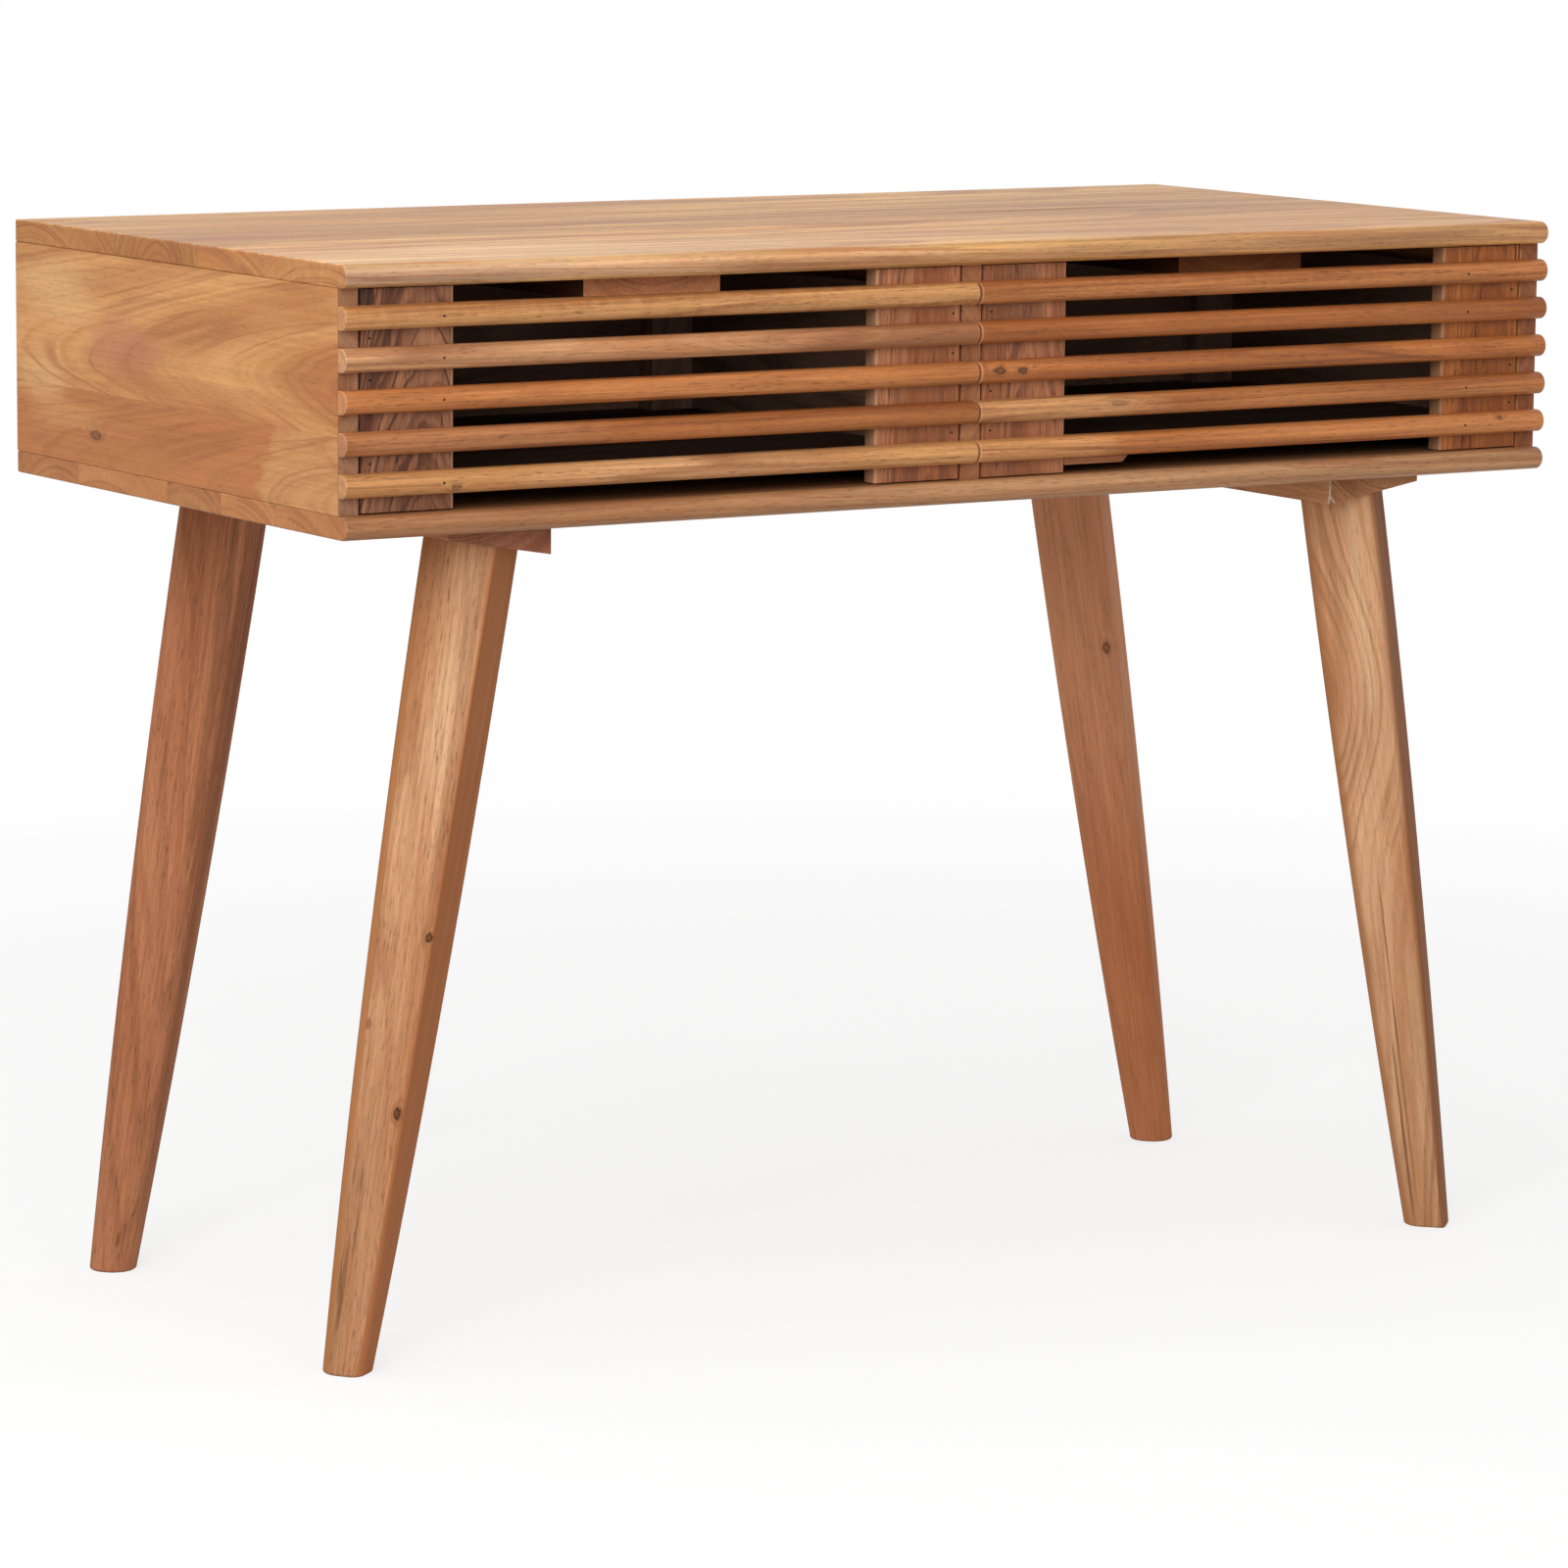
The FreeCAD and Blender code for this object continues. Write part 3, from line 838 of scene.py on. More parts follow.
    def _marked(self, spot: Spot, colour: Wire, knots: Iterable[Wire]) -> Wire:
        """Adds knots and the rim to a colour: a worn edge, or an edge painted darker as shade.

        Args:
            spot: The point.
            colour: The colour so far.
            knots: The reach of each knot.

        Returns:
            The colour with its marks.
        """
        graph = spot.graph
        for knot, reach in zip(self.knots, knots):
            strength = self.KNOT_STRENGTH * knot.strength
            halo = reach.fall(*self.KNOT_HALO)
            colour = graph.mix(colour, self.KNOT_COLOUR, halo * (self.KNOT_HALO_STRENGTH * knot.strength))
            core = reach.fall(*self.KNOT_CORE)
            colour = graph.mix(colour, self.KNOT_COLOUR, core * strength)
            ring = reach.rise(*self.KNOT_RING_IN) * reach.fall(*self.KNOT_RING_OUT)
            colour = graph.mix(colour, self.KNOT_RING_COLOUR, ring * strength)
        # The rim is a paler worn edge, or, multiplied in, an edge painted darker as shade.
        if self.rim is not None:
            worn_or_shaded = self.rim.worn_or_shaded(spot) * self.rim.strength
            colour = graph.mix(colour, self.rim.colour, worn_or_shaded, self.rim.blend)
        return colour

    def _seam_line(self, spot: Spot) -> Wire | None:
        """The thin glue lines between planks.

        Args:
            spot: The point.

        Returns:
            Where the lines are, or nothing on a single plank.
        """
        total: Wire | None = None
        for seam in self.seams:
            line = abs(spot.across - seam).fall(*self.SEAM_LINE)
            total = line if total is None else total.most(line)
        return total


# Other finishes

@dataclass(frozen=True)
class Grained:
    """A finish of two colours in fine grains, with sizes in millimetres and the relief's depth in metres."""

    colour: Triple
    grain_colour: Triple
    layer: Noise
    edge: tuple[float, float]
    roughness: float
    rougher: float
    relief: float
    relief_depth: float
    metallic: float = 0.0

    def material(self, name: str) -> bpy.types.Material:
        """Makes the finish.

        Args:
            name: The material's name.

        Returns:
            The material.
        """
        material, graph = new_material(name)
        grain = graph.noise(graph.scaled(graph.place(), 1.0 / MILLIMETRE), self.layer)
        colour = graph.mix(self.colour, self.grain_colour, grain.rise(*self.edge))
        roughness = self.roughness + self.rougher * grain
        inputs = {"Base Color": colour, "Roughness": roughness, "Metallic": self.metallic}
        graph.surface(self.relief, self.relief_depth, grain, inputs)
        return material


FILLER = Grained(
    (0.66, 0.52, 0.38), (0.42, 0.29, 0.19), Noise((1.3, 1.3, 2.2), 7.0, 4.0, 0.65), (0.42, 0.66),
    roughness=0.55, rougher=0.3, relief=0.4, relief_depth=0.0004,
)
ZINC = Grained(
    (0.62, 0.61, 0.58), (0.48, 0.47, 0.45), Noise((0.6, 0.6, 3.6), 3.0, 3.0, 0.6), (0.4, 0.7),
    roughness=0.235, rougher=0.25, relief=0.15, relief_depth=0.0001, metallic=1.0,
)
DARK_STEEL = replace(
    ZINC, colour=(0.040, 0.028, 0.021), grain_colour=(0.090, 0.066, 0.050),
    layer=ZINC.layer.times(0.5), roughness=0.475,
)


# Sub-assemblies

def dress(node: str, material: bpy.types.Material) -> None:
    """Puts a finish on a piece of the frame.

    Args:
        node: The piece.
        material: Its finish.
    """
    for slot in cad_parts[node].material_slots:
        slot.material = material
    log.info("%s: dressed", node)


def dress_straight(node: str, wood: Wood, lay: Lay) -> None:
    """Puts a wood on a straight piece of the frame.

    Args:
        node: The piece.
        wood: Its finish.
        lay: Which way its grain runs.
    """
    dress(node, wood.material(node + "_wood", Grain.of_node(node, lay)))


def new_piece(name: str, shape: bmesh.types.BMesh, material: bpy.types.Material) -> bpy.types.Object:
    """Makes an object from a finished shape.

    Args:
        name: The piece's name.
        shape: Its mesh, in place.
        material: Its finish.

    Returns:
        The object, in the scene.
    """
    bmesh.ops.recalc_face_normals(shape, faces=shape.faces)
    mesh = bpy.data.meshes.new(name)
    shape.to_mesh(mesh)
    shape.free()
    for face in mesh.polygons:
        face.use_smooth = True
    mesh.materials.append(material)
    piece = bpy.data.objects.new(name, mesh)
    bpy.context.scene.collection.objects.link(piece)
    log.info("%s: built", name)
    return piece


@dataclass(frozen=True)
class Case:
    """The boards, panels and kickers that the drawers run in."""

    top_seams: tuple[float, ...] = (-133.0, -37.0, 88.0)
    bottom_seams: tuple[float, ...] = (-150.0, -70.0, 10.0, 150.0)
    side_seam: float = -23.0
    back_seam: float = 12.0
    front_edge: float = -250.0

    def dress_boards(self) -> None:
        """Finishes the top and the bottom, each glued up from planks along the desk."""
        # Painted shade: the rim multiplies the rounded front edge darker.
        edge = Rim(side_at=self.front_edge, strength=1.0, colour=(0.86, 0.85, 1.04), blend=Blend.MULTIPLY)
        top = Wood(
            Timber.BLOND, 11.0, seams=self.top_seams, ring_width=8.0, taper=0.018, wander=34.0, rings=0.6,
            bands=2.0, streaks=0.75, veins=0.7, pores=0.8, fibres=2.1, fibre_width=6.5,
            end_tint=(0.91, 0.82, 0.83), end_calm=0.8, roughness=0.42, sheen=0.24, rim=edge,
            planks=(
                Plank(-215.0, -130.0, 0.0, 1.00),
                Plank(-40.0, -150.0, 300.0, 1.02),
                Plank(30.0, -26.0, 650.0, 0.83, 40.0),
                Plank(230.0, -120.0, 900.0, 0.90),
            ),
            knots=(Knot(310.0, -15.0, 9.0, 1.6, 0.7), Knot(-120.0, 22.0, 8.0, 1.2, 0.5)),
            patches=(
                # Painted shade: the right part of the top darker, as the light falls off.
                Cloud(340.0, -120.0, 300.0, 260.0, (0.46, 0.210, 0.086), 0.55),
                # Painted light: a paler cloud at the front left, where the lamp glares.
                Cloud(-330.0, -190.0, 360.0, 110.0, (0.80, 0.50, 0.250), 0.6),
                # Painted shade: the rounded front edge darker at the left end.
                Cloud(-440.0, self.front_edge, 150.0, 6.0, (0.50, 0.30, 0.150), 0.8),
            ),
        )
        dress_straight("top_board", top, Lay.ALONG_DESK)
        bottom = replace(
            top, timber=Timber.TAN, seed=23.0, seams=self.bottom_seams, rings=0.45, bands=1.2, streaks=0.5,
            veins=0.6, fibres=1.2, fibre_width=2.4, end_tint=(1.28, 1.17, 0.98), end_calm=0.6,
            roughness=0.46, sheen=0.28, knots=(), patches=(), rim=None,
            planks=(
                Plank(-160.0, -120.0, 140.0, 0.74),
                Plank(-90.0, -90.0, 420.0, 0.84),
                Plank(-20.0, -60.0, 250.0, 0.66),
                Plank(110.0, -130.0, 800.0, 0.80),
                Plank(180.0, -70.0, 60.0, 0.74),
            ),
        )
        dress_straight("bottom_board", bottom, Lay.ALONG_DESK)

    def dress_sides(self) -> None:
        """Finishes the ends, each two planks with bold arched figure."""
        left = Wood(
            Timber.HONEY, 31.0, seams=(self.side_seam,), seam_depth=0.1, taper=0.13, wander=26.0, waver=6.0,
            rings=0.28, bands=1.2, band_width=26.0, streaks=0.20, pores=0.35, fibres=0.55, roughness=0.50,
            sheen=0.2, end_tint=(0.63, 0.70, 1.05),
            planks=(Plank(-70.0, -30.0, 80.0, 1.02, 120.0), Plank(8.0, -34.0, 0.0, 1.03)),
            knots=(Knot(115.0, -53.0, 8.0, 3.0, 0.7),),
            patches=(
                Patch(70.0, 10.0, 66.0, 26.0, (0.50, 0.190, 0.098), 0.66),
                Cloud(-20.0, -16.0, 200.0, 16.0, (0.480, 0.182, 0.058), 0.6),
                Cloud(165.0, -42.0, 70.0, 13.0, (0.600, 0.285, 0.105), 0.6),
                Patch(-205.0, -66.0, 84.0, 56.0, (0.56, 0.27, 0.100), 0.9, softness=0.16),
                Cloud(176.0, 48.0, 58.0, 28.0, (0.68, 0.395, 0.165), 0.7),
                Cloud(204.0, -20.0, 50.0, 18.0, (0.68, 0.385, 0.160), 0.65),
            ),
        )
        dress_straight("left_side_panel", left, Lay.FRONT_TO_BACK)
        right = replace(
            left, seed=37.0, taper=-0.10, end_tint=(0.60, 0.49, 0.62), patches=(),
            planks=(Plank(-55.0, -28.0, 500.0, 0.98, 30.0), Plank(20.0, -45.0, 260.0, 0.95)),
            knots=(Knot(-60.0, 30.0, 5.0, 3.0),),
        )
        dress_straight("right_side_panel", right, Lay.FRONT_TO_BACK)

    def dress_inside(self) -> None:
        """Finishes the divider, the back and the kickers."""
        divider = Wood(Timber.ROSE, 41.0, streaks=0.5, roughness=0.55, end_tint=(1.0, 1.06, 1.06))
        dress_straight("centre_divider", divider, Lay.FRONT_TO_BACK)
        back = Wood(
            Timber.HONEY, 43.0, seams=(self.back_seam,), ring_width=8.0, taper=0.03, rings=0.35, pores=0.4,
            planks=(Plank(-60.0, -40.0, 0.0, 0.88, 30.0), Plank(60.0, -50.0, 420.0, 0.94)),
            knots=(Knot(-210.0, 44.0, 5.0, 3.2),),
        )
        dress_straight("back_panel", back, Lay.ALONG_DESK_UPRIGHT)
        # Painted shade and light: each kicker's body is painted dark as shade under the top, and its front
        # end is multiplied lighter, the left one past its timber's own tone as painted light.
        kickers = {
            "left_drawer_kicker": (Timber.ROSE, 47.0, 8.0),
            "right_drawer_kicker": (Timber.RUSSET, 48.0, 2.6),
        }
        for name, (timber, seed, painted_end_light) in kickers.items():
            kicker = Wood(
                timber, seed, planks=(Plank(shade=0.25),), rings=0.3, streaks=0.4, roughness=0.6,
                end_tint=(painted_end_light, painted_end_light, painted_end_light),
            )
            dress_straight(name, kicker, Lay.FRONT_TO_BACK_FLAT)


@dataclass(frozen=True)
class Run:
    """A hardened run of filler on a block's near corner.

    The drop is a share of the block's height, the lean is in degrees, and the rest is in millimetres.
    """

    drop: float
    aside: float
    lean: float
    width: float
    length: float

    ROUNDS = 3

    def add_to(self, shape: bmesh.types.BMesh, low: Vector, high: Vector) -> None:
        """Adds the run.

        Args:
            shape: The mesh that takes it.
            low: The block's lowest corner.
            high: The block's highest corner.
        """
        place = Vector((low.x + self.aside * MILLIMETRE, low.y, high.z + (low.z - high.z) * self.drop))
        width, length = self.width * MILLIMETRE, self.length * MILLIMETRE
        turn = Matrix.Rotation(math.radians(self.lean), 4, "Y")
        matrix = Matrix.Translation(place) @ turn @ Matrix.Diagonal((width, width, length, 1.0))
        bmesh.ops.create_icosphere(shape, subdivisions=self.ROUNDS, radius=1.0, matrix=matrix)


@dataclass(frozen=True)
class Leg:
    """A splayed leg with its wedge block, which may have runs of filler."""

    name: str
    wood: Wood
    block_wood: Wood
    turn: float = 0.0
    foot_radius: float = 16.5
    runs: tuple[Run, ...] = ()

    def grain(self) -> Grain:
        """The grain of the leg.

        Returns:
            A frame at the leg's foot, its depth towards the face at the front left.
        """
        low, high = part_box(self.name + "_leg")
        block_low, block_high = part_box(self.name + "_leg_block")
        top_x, middle_y = (block_low.x + block_high.x) / 2, (low.y + high.y) / 2
        radius = self.foot_radius * MILLIMETRE
        foot_x = low.x + radius if top_x < 0 else high.x - radius
        foot = Vector((foot_x, middle_y, 0.0))
        along = (Vector((top_x, middle_y, high.z)) - foot).normalized()
        face = Matrix.Rotation(math.radians(-self.turn), 3, "Z") @ Vector((-1.0, -1.0, 0.0))
        face = (face - along * face.dot(along)).normalized()
        return Grain(foot, along, face.cross(along))

    def dress(self) -> None:
        """Finishes the leg and its block."""
        leg = self.name + "_leg"
        dress(leg, self.wood.material(leg + "_wood", self.grain()))
        dress_straight(leg + "_block", self.block_wood, Lay.FRONT_TO_BACK_FLAT)

    def filler(self) -> bpy.types.Object:
        """The runs of filler down the block's near corner.

        Returns:
            The filler as one piece.
        """
        low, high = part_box(self.name + "_leg_block")
        shape = bmesh.new()
        for run in self.runs:
            run.add_to(shape, low, high)
        piece = new_piece(self.name + "_block_filler", shape, FILLER.material("block_filler"))
        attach(piece, "case")
        return piece


@dataclass(frozen=True)
class Slat:
    """How one slat of a drawer front looks."""

    timber: Timber
    shade: float = 1.0
    ripple: float = 0.0
    knots: tuple[Knot, ...] = ()
    patches: tuple[Patch, ...] = ()


@dataclass(frozen=True)
class Drawer:
    """A drawer: slats on two stiles, with a box behind them, and in one a strip glued in."""

    body: str
    seed: float
    slats: tuple[Slat, ...]
    outer_stile: Wood
    inner_stile: Wood
    brad_slats: tuple[int, ...]
    pinned_gaps: tuple[int, ...]
    brad_radius: float = 0.9
    brad_length: float = 4.0
    brad_proud: float = 0.15
    brad_sides: int = 12
    brad_from_edge: float = 14.0
    has_strip: bool = False
    strip_sizes: Triple = (56.0, 12.0, 9.0)
    strip_drop: float = 5.6
    strip_gap: float = 0.1
    strip_heel: float = 6.0
    strip_ease: float = 0.4

    PITH_SWING = 22.0
    PITH_STEP = 2.4
    PITH_DEPTH = -12.0
    SLAT_SHIFT = 170.0
    SLAT_SEED_STEP = 7.0
    BOX_SEED = 60.0
    BOX_SEED_STEP = 5.0
    STRIP_SEED = 99.0

    def dress_front(self) -> None:
        """Finishes the slats and the stiles behind them."""
        for number, slat in enumerate(self.slats, start=1):
            name = "%s_slat_%d" % (self.body, number)
            low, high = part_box(name)
            half = (high.x - low.x) / 2 / MILLIMETRE
            pith = self.PITH_SWING * math.sin(self.PITH_STEP * number + self.seed)
            wood = Wood(
                slat.timber, self.seed + self.SLAT_SEED_STEP * number, ring_width=4.0, taper=0.014,
                wander=16.0, waver=2.5, rings=0.42, bands=1.1, band_width=9.0, streaks=0.42, veins=0.7,
                pores=0.8, fibres=1.3, ripple=slat.ripple, end_tint=(1.0, 0.95, 0.90), roughness=0.44,
                planks=(Plank(pith, self.PITH_DEPTH, self.SLAT_SHIFT * number, slat.shade),),
                knots=slat.knots, patches=slat.patches, rim=Rim(ends_at=half, strength=0.32),
            )
            dress_straight(name, wood, Lay.ALONG_DESK_UPRIGHT)
        dress_straight(self.body + "_outer_stile", self.outer_stile, Lay.UPRIGHT)
        dress_straight(self.body + "_inner_stile", self.inner_stile, Lay.UPRIGHT)

    def dress_box(self) -> None:
        """Finishes the box, which is left unpolished, in a dark wood darkened further as painted shade for
        the inside of the drawer.
        """
        # Painted shade: each piece's wood is darkened for the shade inside the drawer, the back and posts
        # least and the bottom most.
        finishes = {
            "outer_side": (Lay.FRONT_TO_BACK, 1.4),
            "inner_side": (Lay.FRONT_TO_BACK, 1.4),
            "back": (Lay.ALONG_DESK_UPRIGHT, 2.2),
            "bottom": (Lay.ALONG_DESK, 0.6),
            "outer_post": (Lay.UPRIGHT, 2.6),
            "inner_post": (Lay.UPRIGHT, 2.6),
            "dowels": (Lay.FRONT_TO_BACK, 2.0),
        }
        for number, (piece, (lay, shade)) in enumerate(finishes.items()):
            seed = self.seed + self.BOX_SEED + self.BOX_SEED_STEP * number
            wood = Wood(Timber.SHADED_DUSK, seed, planks=(Plank(shade=shade),), streaks=0.4, roughness=0.68)
            dress_straight("%s_%s" % (self.body, piece), wood, lay)

    def glue_strip(self) -> bpy.types.Object:
        """A strip glued behind the lowest slat beside the inner stile, with a sloping end.

        Returns:
            The strip as one piece.
        """
        _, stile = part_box(self.body + "_inner_stile")
        slat, slat_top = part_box("%s_slat_%d" % (self.body, len(self.slats)))
        length, height, depth = (value * MILLIMETRE for value in self.strip_sizes)
        gap = self.strip_gap * MILLIMETRE
        start = stile.x + gap
        floor = slat.z - self.strip_drop * MILLIMETRE
        middle = Vector((start + length / 2, slat_top.y + depth / 2 + gap, floor + height / 2))
        shape = bmesh.new()
        matrix = Matrix.Translation(middle) @ Matrix.Diagonal((length, depth, height, 1.0))
        bmesh.ops.create_cube(shape, size=1.0, matrix=matrix)
        heel = Vector((start + length - self.strip_heel * MILLIMETRE, middle.y, floor))
        cut = bmesh.ops.bisect_plane(
            shape, geom=shape.verts[:] + shape.edges[:] + shape.faces[:], plane_co=heel,
            plane_no=(1.0, 0.0, -1.0), clear_outer=True,
        )
        rim = [part for part in cut["geom_cut"] if isinstance(part, bmesh.types.BMEdge)]
        bmesh.ops.holes_fill(shape, edges=rim)
        bmesh.ops.bevel(
            shape, geom=shape.edges[:], offset=self.strip_ease * MILLIMETRE, segments=2, profile=0.5,
            affect="EDGES", material=-1,
        )
        name = self.body + "_glue_strip"
        seed = self.seed + self.STRIP_SEED
        wood = Wood(Timber.ROSE, seed, ring_width=3.0, rings=0.5, fibres=1.2, roughness=0.6)
        grain = Grain(middle, Vector(X_WAY), Vector(Z_WAY))
        piece = new_piece(name, shape, wood.material(name + "_wood", grain))
        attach(piece, self.body)
        return piece

    def brads(self) -> bpy.types.Object:
        """Drives the brads through slats into the outer stile and the pins through stiles into the sides.

        Returns:
            All of the drawer's brads and pins as one piece.
        """
        shape = bmesh.new()
        low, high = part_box(self.body + "_outer_stile")
        inner_edge = low.x if low.x > 0 else high.x
        brad_x = inner_edge + math.copysign(self.brad_from_edge * MILLIMETRE, inner_edge)
        for number in self.brad_slats:
            slat_low, slat_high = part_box("%s_slat_%d" % (self.body, number))
            self._drive(shape, Vector((brad_x, slat_low.y, (slat_low.z + slat_high.z) / 2)))
        for side in ("outer_side", "inner_side"):
            side_low, side_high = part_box("%s_%s" % (self.body, side))
            for gap in self.pinned_gaps:
                upper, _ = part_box("%s_slat_%d" % (self.body, gap))
                _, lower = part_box("%s_slat_%d" % (self.body, gap + 1))
                pin_x, pin_z = (side_low.x + side_high.x) / 2, (upper.z + lower.z) / 2
                self._drive(shape, Vector((pin_x, low.y, pin_z)))
        piece = new_piece(self.body + "_brads", shape, DARK_STEEL.material(self.body + "_brad_steel"))
        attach(piece, self.body)
        return piece

    def _drive(self, shape: bmesh.types.BMesh, head: Vector) -> None:
        """Adds one brad.

        Args:
            shape: The mesh that takes it.
            head: The middle of its head, on the front of the wood.
        """
        length, radius = self.brad_length * MILLIMETRE, self.brad_radius * MILLIMETRE
        middle = head + Vector((0.0, length / 2 - self.brad_proud * MILLIMETRE, 0.0))
        place = Matrix.Translation(middle) @ Matrix.Rotation(math.radians(90.0), 4, "X")
        bmesh.ops.create_cone(
            shape, cap_ends=True, cap_tris=False, segments=self.brad_sides, radius1=radius, radius2=radius,
            depth=length, matrix=place,
        )


def build_legs() -> list[Leg]:
    """The four legs, each from its own piece of timber.

    Returns:
        The legs.
    """
    plain_block = Wood(
        Timber.TAN, 71.0, planks=(Plank(20.0, -70.0, 0.0, 0.92),), ring_width=3.4, rings=0.6, veins=0.6,
        fibres=1.0, roughness=0.6, end_tint=(0.62, 0.58, 0.56),
    )
    dark_block = replace(
        plain_block, timber=Timber.ROSE, seed=83.0, planks=(Plank(-30.0, -90.0, 0.0, 1.3),), ring_width=2.4,
        rings=0.85, end_tint=(0.64, 0.65, 0.74),
    )
    light_block = replace(plain_block, seed=97.0, planks=(Plank(20.0, -70.0, 0.0, 1.2),))
    front_left = Wood(
        Timber.PEACH, 61.0, planks=(Plank(14.0, -44.0, 0.0, 0.94),), ring_width=6.0, taper=0.012,
        wander=16.0, waver=1.5, rings=0.36, streaks=0.36, veins=0.45, pores=0.78, fibres=1.3, roughness=0.58,
        sheen=0.03,
        # Painted shade: the right face, turned from the light, and the rounded left edge are toned darker,
        # the right face partly as its own tone.
        shaded_sides=(
            ShadedSide((0.440, 0.155, 0.058), -1.0, foot_slope=0.86, top_slope=1.09),
            ShadedSide((0.440, 0.178, 0.062), 1.0, foot_slope=0.70, top_slope=0.78, line=0.6),
        ),
        knots=(Knot(305.0, -21.0, 3.0, 2.2, depth=23.0), Knot(183.0, -16.0, 3.6, 2.4, depth=20.0)),
        patches=(
            # Painted shade: the leg darker towards its foot.
            Cloud(100.0, 0.0, 230.0, 60.0, (0.42, 0.180, 0.080), 0.65),
            Cloud(470.0, -13.0, 120.0, 14.0, (0.74, 0.455, 0.265), 0.6),
            Patch(240.0, 14.0, 5.0, 3.0, (0.25, 0.095, 0.045), 0.7),
            Patch(88.0, 6.0, 90.0, 8.0, (0.120, 0.052, 0.024), 0.8, streaks=0.9),
            Patch(510.0, 19.0, 150.0, 13.0, (0.34, 0.130, 0.050), 0.7, streaks=0.3, softness=0.4),
        ),
    )
    front_right = replace(
        front_left, seed=67.0, planks=(Plank(-30.0, -30.0, 200.0, 1.02),), ring_width=4.6, taper=0.02,
        rings=0.62, veins=0.5, pores=0.45, fibres=0.7, knots=(Knot(425.0, 25.0, 40.0, 24.0, 0.0, 6.0),),
        # Painted shade: the right face dark, soft at the top and crisp lower down, and the left edge darker.
        shaded_sides=(
            ShadedSide((0.245, 0.088, 0.036), -1.0, foot_slope=0.78, top_slope=0.98, top_softness=9.0),
            ShadedSide(
                (0.440, 0.190, 0.080), 1.0, foot_slope=0.8, top_slope=0.8, foot_softness=3.0,
                top_softness=6.0,
            ),
        ),
        patches=(
            Patch(470.0, -8.0, 110.0, 6.0, (0.70, 0.44, 0.24), 0.7),
            Patch(150.0, 3.0, 150.0, 1.1, (0.13, 0.055, 0.028), 0.75, streaks=0.5),
            Patch(70.0, 7.0, 90.0, 1.4, (0.11, 0.046, 0.024), 0.8, streaks=0.3),
            Patch(225.0, 20.0, 34.0, 4.0, (0.14, 0.058, 0.030), 0.7, streaks=0.6),
            Cloud(100.0, -14.0, 150.0, 12.0, (0.62, 0.370, 0.215), 0.5),
        ),
    )
    back_left = replace(
        front_left, timber=Timber.CLAY, seed=73.0, planks=(Plank(20.0, -50.0, 300.0, 1.03),), taper=0.02,
        rings=0.4, veins=0.4, pores=0.75, fibres=1.1, shaded_sides=(), knots=(),
        patches=(
            Patch(470.0, -20.0, 190.0, 5.0, (0.15, 0.058, 0.030), 0.7, streaks=0.5),
            # Painted shade: the leg darker towards its foot.
            Cloud(90.0, 0.0, 200.0, 60.0, (0.340, 0.125, 0.058), 0.5),
        ),
    )
    back_right = replace(
        # Painted light: this leg's plank is lighter and the cloud at its top paler, standing in for light
        # where the case shades it.
        back_left, seed=79.0, planks=(Plank(20.0, -50.0, 700.0, 1.16),), rings=0.12, streaks=0.15,
        veins=0.15, pores=0.35, fibres=0.7, knots=(Knot(412.0, -17.9, 4.4, 2.6, 0.7),),
        patches=(
            Cloud(520.0, 0.0, 300.0, 90.0, (0.64, 0.290, 0.152), 0.75),
            Cloud(90.0, 0.0, 220.0, 60.0, (0.400, 0.128, 0.046), 0.6),
        ),
    )
    runs = (
        Run(0.44, 0.0, 0.0, 0.75, 9.0),
        Run(0.80, -0.6, 14.0, 0.9, 3.6),
        Run(0.82, 2.4, -38.0, 0.7, 4.0),
    )
    return [
        Leg("front_left", front_left, dark_block, turn=7.0),
        Leg("front_right", front_right, light_block, runs=runs),
        Leg("back_left", back_left, plain_block),
        Leg("back_right", back_right, replace(plain_block, seed=89.0)),
    ]


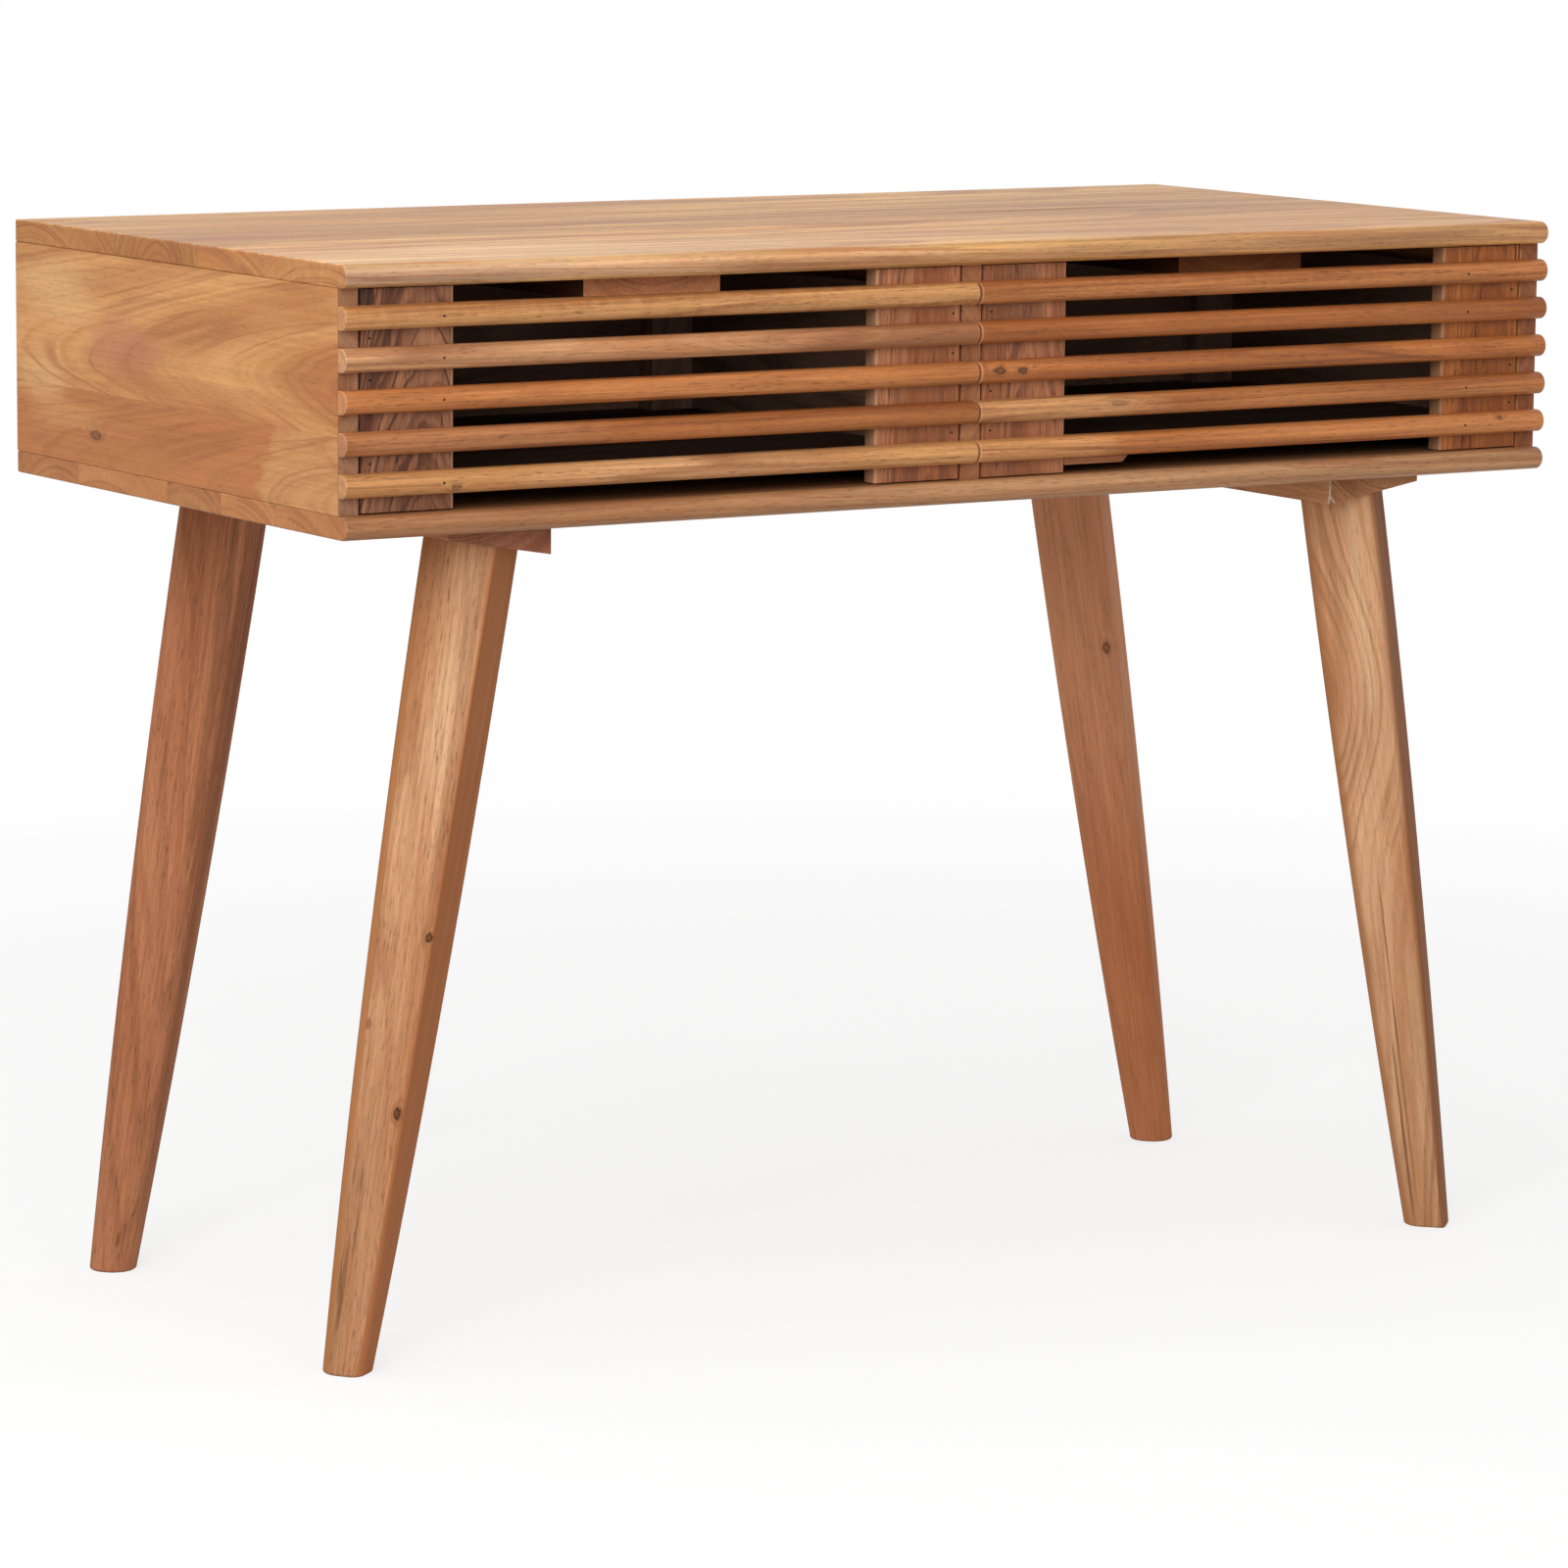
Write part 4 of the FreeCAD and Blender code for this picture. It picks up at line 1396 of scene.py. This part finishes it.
def build_drawers() -> list[Drawer]:
    """The two drawers.

    Returns:
        The left drawer and the right drawer.
    """
    stile_half = 35.0
    stile = Wood(
        Timber.UMBER, 101.0, planks=(Plank(10.0, -24.0),), ring_width=6.0, taper=0.25, wander=44.0,
        waver=10.0, rings=0.55, bands=1.5, streaks=0.6, veins=0.8, pores=1.0, pore_size=1.7, fibres=1.2,
        roughness=0.62, relief=0.5,
    )
    inner_stile = replace(stile, timber=Timber.ROSE, rings=0.75, bands=2.1)
    left = Drawer(
        "left_drawer", 200.0,
        slats=(
            Slat(Timber.HONEY, 0.86, ripple=0.8),
            Slat(
                Timber.TAN, 0.98, knots=(Knot(118.0, 0.0, 30.0, 5.0, 0.0, 4.0),),
                patches=(
                    Patch(200.0, 0.0, 130.0, 30.0, (0.31, 0.115, 0.040), 0.75),
                    Patch(-150.0, 0.0, 130.0, 30.0, (0.64, 0.345, 0.165), 0.6),
                ),
            ),
            Slat(Timber.AMBER, 0.95),
            Slat(Timber.RUSSET, 0.90, patches=(Patch(-170.0, 0.0, 110.0, 30.0, (0.50, 0.205, 0.080)),)),
            Slat(
                Timber.HONEY, 0.91, knots=(Knot(-166.0, -3.6, 3.4, 1.8, 0.55),),
                patches=(Cloud(10.0, 0.0, 110.0, 30.0, (0.76, 0.415, 0.190), 0.65),),
            ),
        ),
        outer_stile=replace(
            stile, rim=Rim(side_at=stile_half, strength=0.7), ring_width=9.0, wander=60.0, waver=18.0,
            rings=0.8, veins=1.0,
            # Painted shade: the near-black spot in the top corner is the shade in a chipped corner.
            patches=(Patch(68.0, -31.0, 13.0, 9.0, (0.012, 0.008, 0.007), 0.97, softness=0.1),),
        ),
        inner_stile=replace(
            inner_stile, seed=107.0, taper=0.08, rim=Rim(side_at=-stile_half),
            planks=(Plank(10.0, -24.0, 0.0, 1.06),),
        ),
        brad_slats=(1, 2, 3, 5),
        pinned_gaps=(1, 2, 4),
    )
    right = Drawer(
        "right_drawer", 300.0,
        slats=(
            Slat(Timber.AMBER, 0.89, ripple=0.5),
            Slat(Timber.RUSSET, 1.06, patches=(Patch(0.0, 0.0, 150.0, 30.0, (0.330, 0.100, 0.024), 0.6),)),
            Slat(
                Timber.RUSSET, 1.08,
                knots=(
                    Knot(-234.6, 1.4, 4.5, 2.2),
                    Knot(-215.6, 0.6, 4.0, 2.0),
                    Knot(222.0, 0.0, 26.0, 4.5, 0.0, 4.0),
                ),
            ),
            Slat(
                Timber.AMBER, 0.87, knots=(Knot(-132.0, 2.0, 7.0, 1.8, 0.35, 3.0),),
                patches=(Patch(-190.0, 0.0, 90.0, 30.0, (0.68, 0.335, 0.135), 0.8),),
            ),
            Slat(
                Timber.AMBER, 0.99, knots=(Knot(208.7, 4.2, 2.2, 1.1, 0.7),),
                patches=(Patch(-200.0, 0.0, 80.0, 30.0, (0.64, 0.31, 0.115)),),
            ),
        ),
        outer_stile=replace(
            stile, timber=Timber.RUSSET, seed=113.0, taper=0.10, rim=Rim(side_at=-stile_half),
        ),
        inner_stile=replace(
            inner_stile, seed=127.0, taper=0.10, rim=Rim(side_at=stile_half),
            patches=(Patch(48.0, -6.0, 34.0, 26.0, (0.150, 0.068, 0.034), 0.8, streaks=0.5),),
        ),
        brad_slats=(1, 2, 4, 5),
        pinned_gaps=(1, 3, 4),
        has_strip=True,
    )
    return [left, right]


def dress_fasteners() -> None:
    """Finishes the hidden fasteners."""
    zinc = ZINC.material("zinc_plate")
    for node in ("leg_bolts", "leg_insert_nuts", "block_screws", "kicker_screws"):
        dress(node, zinc)
    beech = Wood(Timber.TAN, 131.0, ring_width=3.0, roughness=0.6)
    dress_straight("case_dowels", beech, Lay.UPRIGHT)


# Stage

@dataclass(frozen=True)
class Lamp:
    """A square soft lamp, in metres and watts."""

    name: str
    place: Triple
    aim: Triple
    side: float
    power: float

    def hang(self) -> None:
        """Adds the lamp to the scene, turned to the point that it faces."""
        light = bpy.data.lights.new(self.name, "AREA")
        light.shape = "SQUARE"
        light.size = self.side
        light.energy = self.power
        lamp = bpy.data.objects.new(self.name, light)
        bpy.context.scene.collection.objects.link(lamp)
        lamp.location = self.place
        lamp.rotation_euler = (Vector(self.aim) - Vector(self.place)).to_track_quat("-Z", "Y").to_euler()


@dataclass(frozen=True)
class Viewpoint:
    """The photograph's viewpoint, in metres, radians and pixels of the photograph."""

    place: Triple = (-2.5047, -3.9822, 1.0712)
    yaw: float = 0.56111
    pitch: float = 0.15284
    roll: float = 0.00841
    focal_pixels: float = 6609.0

    def set_camera(self) -> None:
        """Makes the scene's camera."""
        sine, cosine = math.sin(self.yaw), math.cos(self.yaw)
        down, level = math.sin(self.pitch), math.cos(self.pitch)
        ahead = Vector((sine * level, cosine * level, -down))
        right = Vector((cosine, -sine, 0.0))
        up = right.cross(ahead)
        turn, keep = math.sin(self.roll), math.cos(self.roll)
        right, up = right * keep + up * turn, up * keep - right * turn
        data = bpy.data.cameras.new("camera")
        data.sensor_width = SENSOR_WIDTH
        data.lens = self.focal_pixels / PHOTO_SIDE * SENSOR_WIDTH
        camera = bpy.data.objects.new("camera", data)
        bpy.context.scene.collection.objects.link(camera)
        turned = Matrix((right, up, -ahead)).transposed().to_4x4()
        camera.matrix_world = Matrix.Translation(self.place) @ turned
        bpy.context.scene.camera = camera


@dataclass(frozen=True)
class Stage:
    """The floor, the lamps, the surroundings and the camera."""

    floor_half: float = 6.0
    floor_seen: Triple = (0.95, 0.95, 0.95)
    floor_bounce: Triple = (0.58, 0.58, 0.58)
    white_from: float = 0.9
    white_to: float = 2.6
    near_white: float = 0.72
    sky: float = 0.67
    lamps: tuple[Lamp, ...] = (
        Lamp("key", (-2.3, -2.3, 1.9), (0.0, 0.0, 0.55), 1.8, 60.0),
        Lamp("overhead", (-1.0, -0.5, 2.5), (-0.2, -0.1, 0.7), 2.0, 12.0),
    )
    viewpoint: Viewpoint = Viewpoint()

    FLOOR_GRAIN = Noise((0.05, 0.05, 0.05), 5.0, 3.0)
    FLOOR_UNEVEN = 0.02

    def build(self) -> None:
        """Makes everything that isn't the desk."""
        self._floor()
        self._world()
        for lamp in self.lamps:
            lamp.hang()
        self.viewpoint.set_camera()

    @staticmethod
    def _seen(graph: Graph) -> Wire:
        """1 on rays that show a picture of what they meet.

        Args:
            graph: The material's or the world's graph.

        Returns:
            1 on such rays and 0 on the others.
        """
        path = graph.node("ShaderNodeLightPath")
        kinds = ("Is Camera Ray", "Is Glossy Ray", "Is Transmission Ray")
        camera, glossy, through = (graph.wire(path, kind) for kind in kinds)
        return camera.most(glossy).most(through)

    def _floor(self) -> None:
        """A pale floor that turns white away from the desk and shows its shadow near it."""
        material, graph = new_material("floor_paint")
        spot = graph.place()
        reach = graph.vectors("LENGTH", graph.vectors("MULTIPLY", spot, (1.0, 1.0, 0.0)), output="Value")
        grain = graph.noise(spot, self.FLOOR_GRAIN)
        seen = self._seen(graph)
        paint = graph.mix(self.floor_bounce, self.floor_seen, seen)
        paint = graph.scaled(paint, 1.0 - self.FLOOR_UNEVEN / 2 + self.FLOOR_UNEVEN * grain)
        diffuse = graph.wire(graph.node("ShaderNodeBsdfDiffuse", None, {"Color": paint}))
        glow = graph.wire(graph.node("ShaderNodeEmission", None, {"Color": WHITE, "Strength": 1.0}))
        away = reach.rise(self.white_from, self.white_to)
        white = (self.near_white + (1.0 - self.near_white) * away) * seen
        top = graph.wire(graph.node("ShaderNodeMixShader", None, {0: white, 1: diffuse, 2: glow}))
        clear = graph.wire(graph.node("ShaderNodeBsdfTransparent"))
        back = graph.wire(graph.node("ShaderNodeNewGeometry"), "Backfacing")
        both = graph.wire(graph.node("ShaderNodeMixShader", None, {0: back, 1: top, 2: clear}))
        graph.node("ShaderNodeOutputMaterial", None, {"Surface": both})
        shape = bmesh.new()
        bmesh.ops.create_grid(shape, x_segments=2, y_segments=2, size=self.floor_half)
        new_piece("floor", shape, material)

    def _world(self) -> None:
        """Even white surroundings."""
        world = bpy.data.worlds.new("surroundings")
        bpy.context.scene.world = world
        world.use_nodes = True
        graph = Graph(world.node_tree)
        strength = self.sky + (1.0 - self.sky) * self._seen(graph)
        background = graph.node("ShaderNodeBackground", None, {"Color": WHITE, "Strength": strength})
        graph.node("ShaderNodeOutputWorld", None, {"Surface": graph.wire(background)})


def main() -> None:
    """Builds the desk's looks and the stage round it."""
    logging.basicConfig(level=logging.INFO, format="%(message)s")
    bpy.context.scene.view_settings.view_transform = "Standard"
    case = Case()
    case.dress_boards()
    case.dress_sides()
    case.dress_inside()
    for leg in build_legs():
        leg.dress()
        if leg.runs:
            leg.filler()
    for drawer in build_drawers():
        drawer.dress_front()
        drawer.dress_box()
        drawer.brads()
        if drawer.has_strip:
            drawer.glue_strip()
    dress_fasteners()
    Stage().build()


if __name__ == "__main__":
    main()
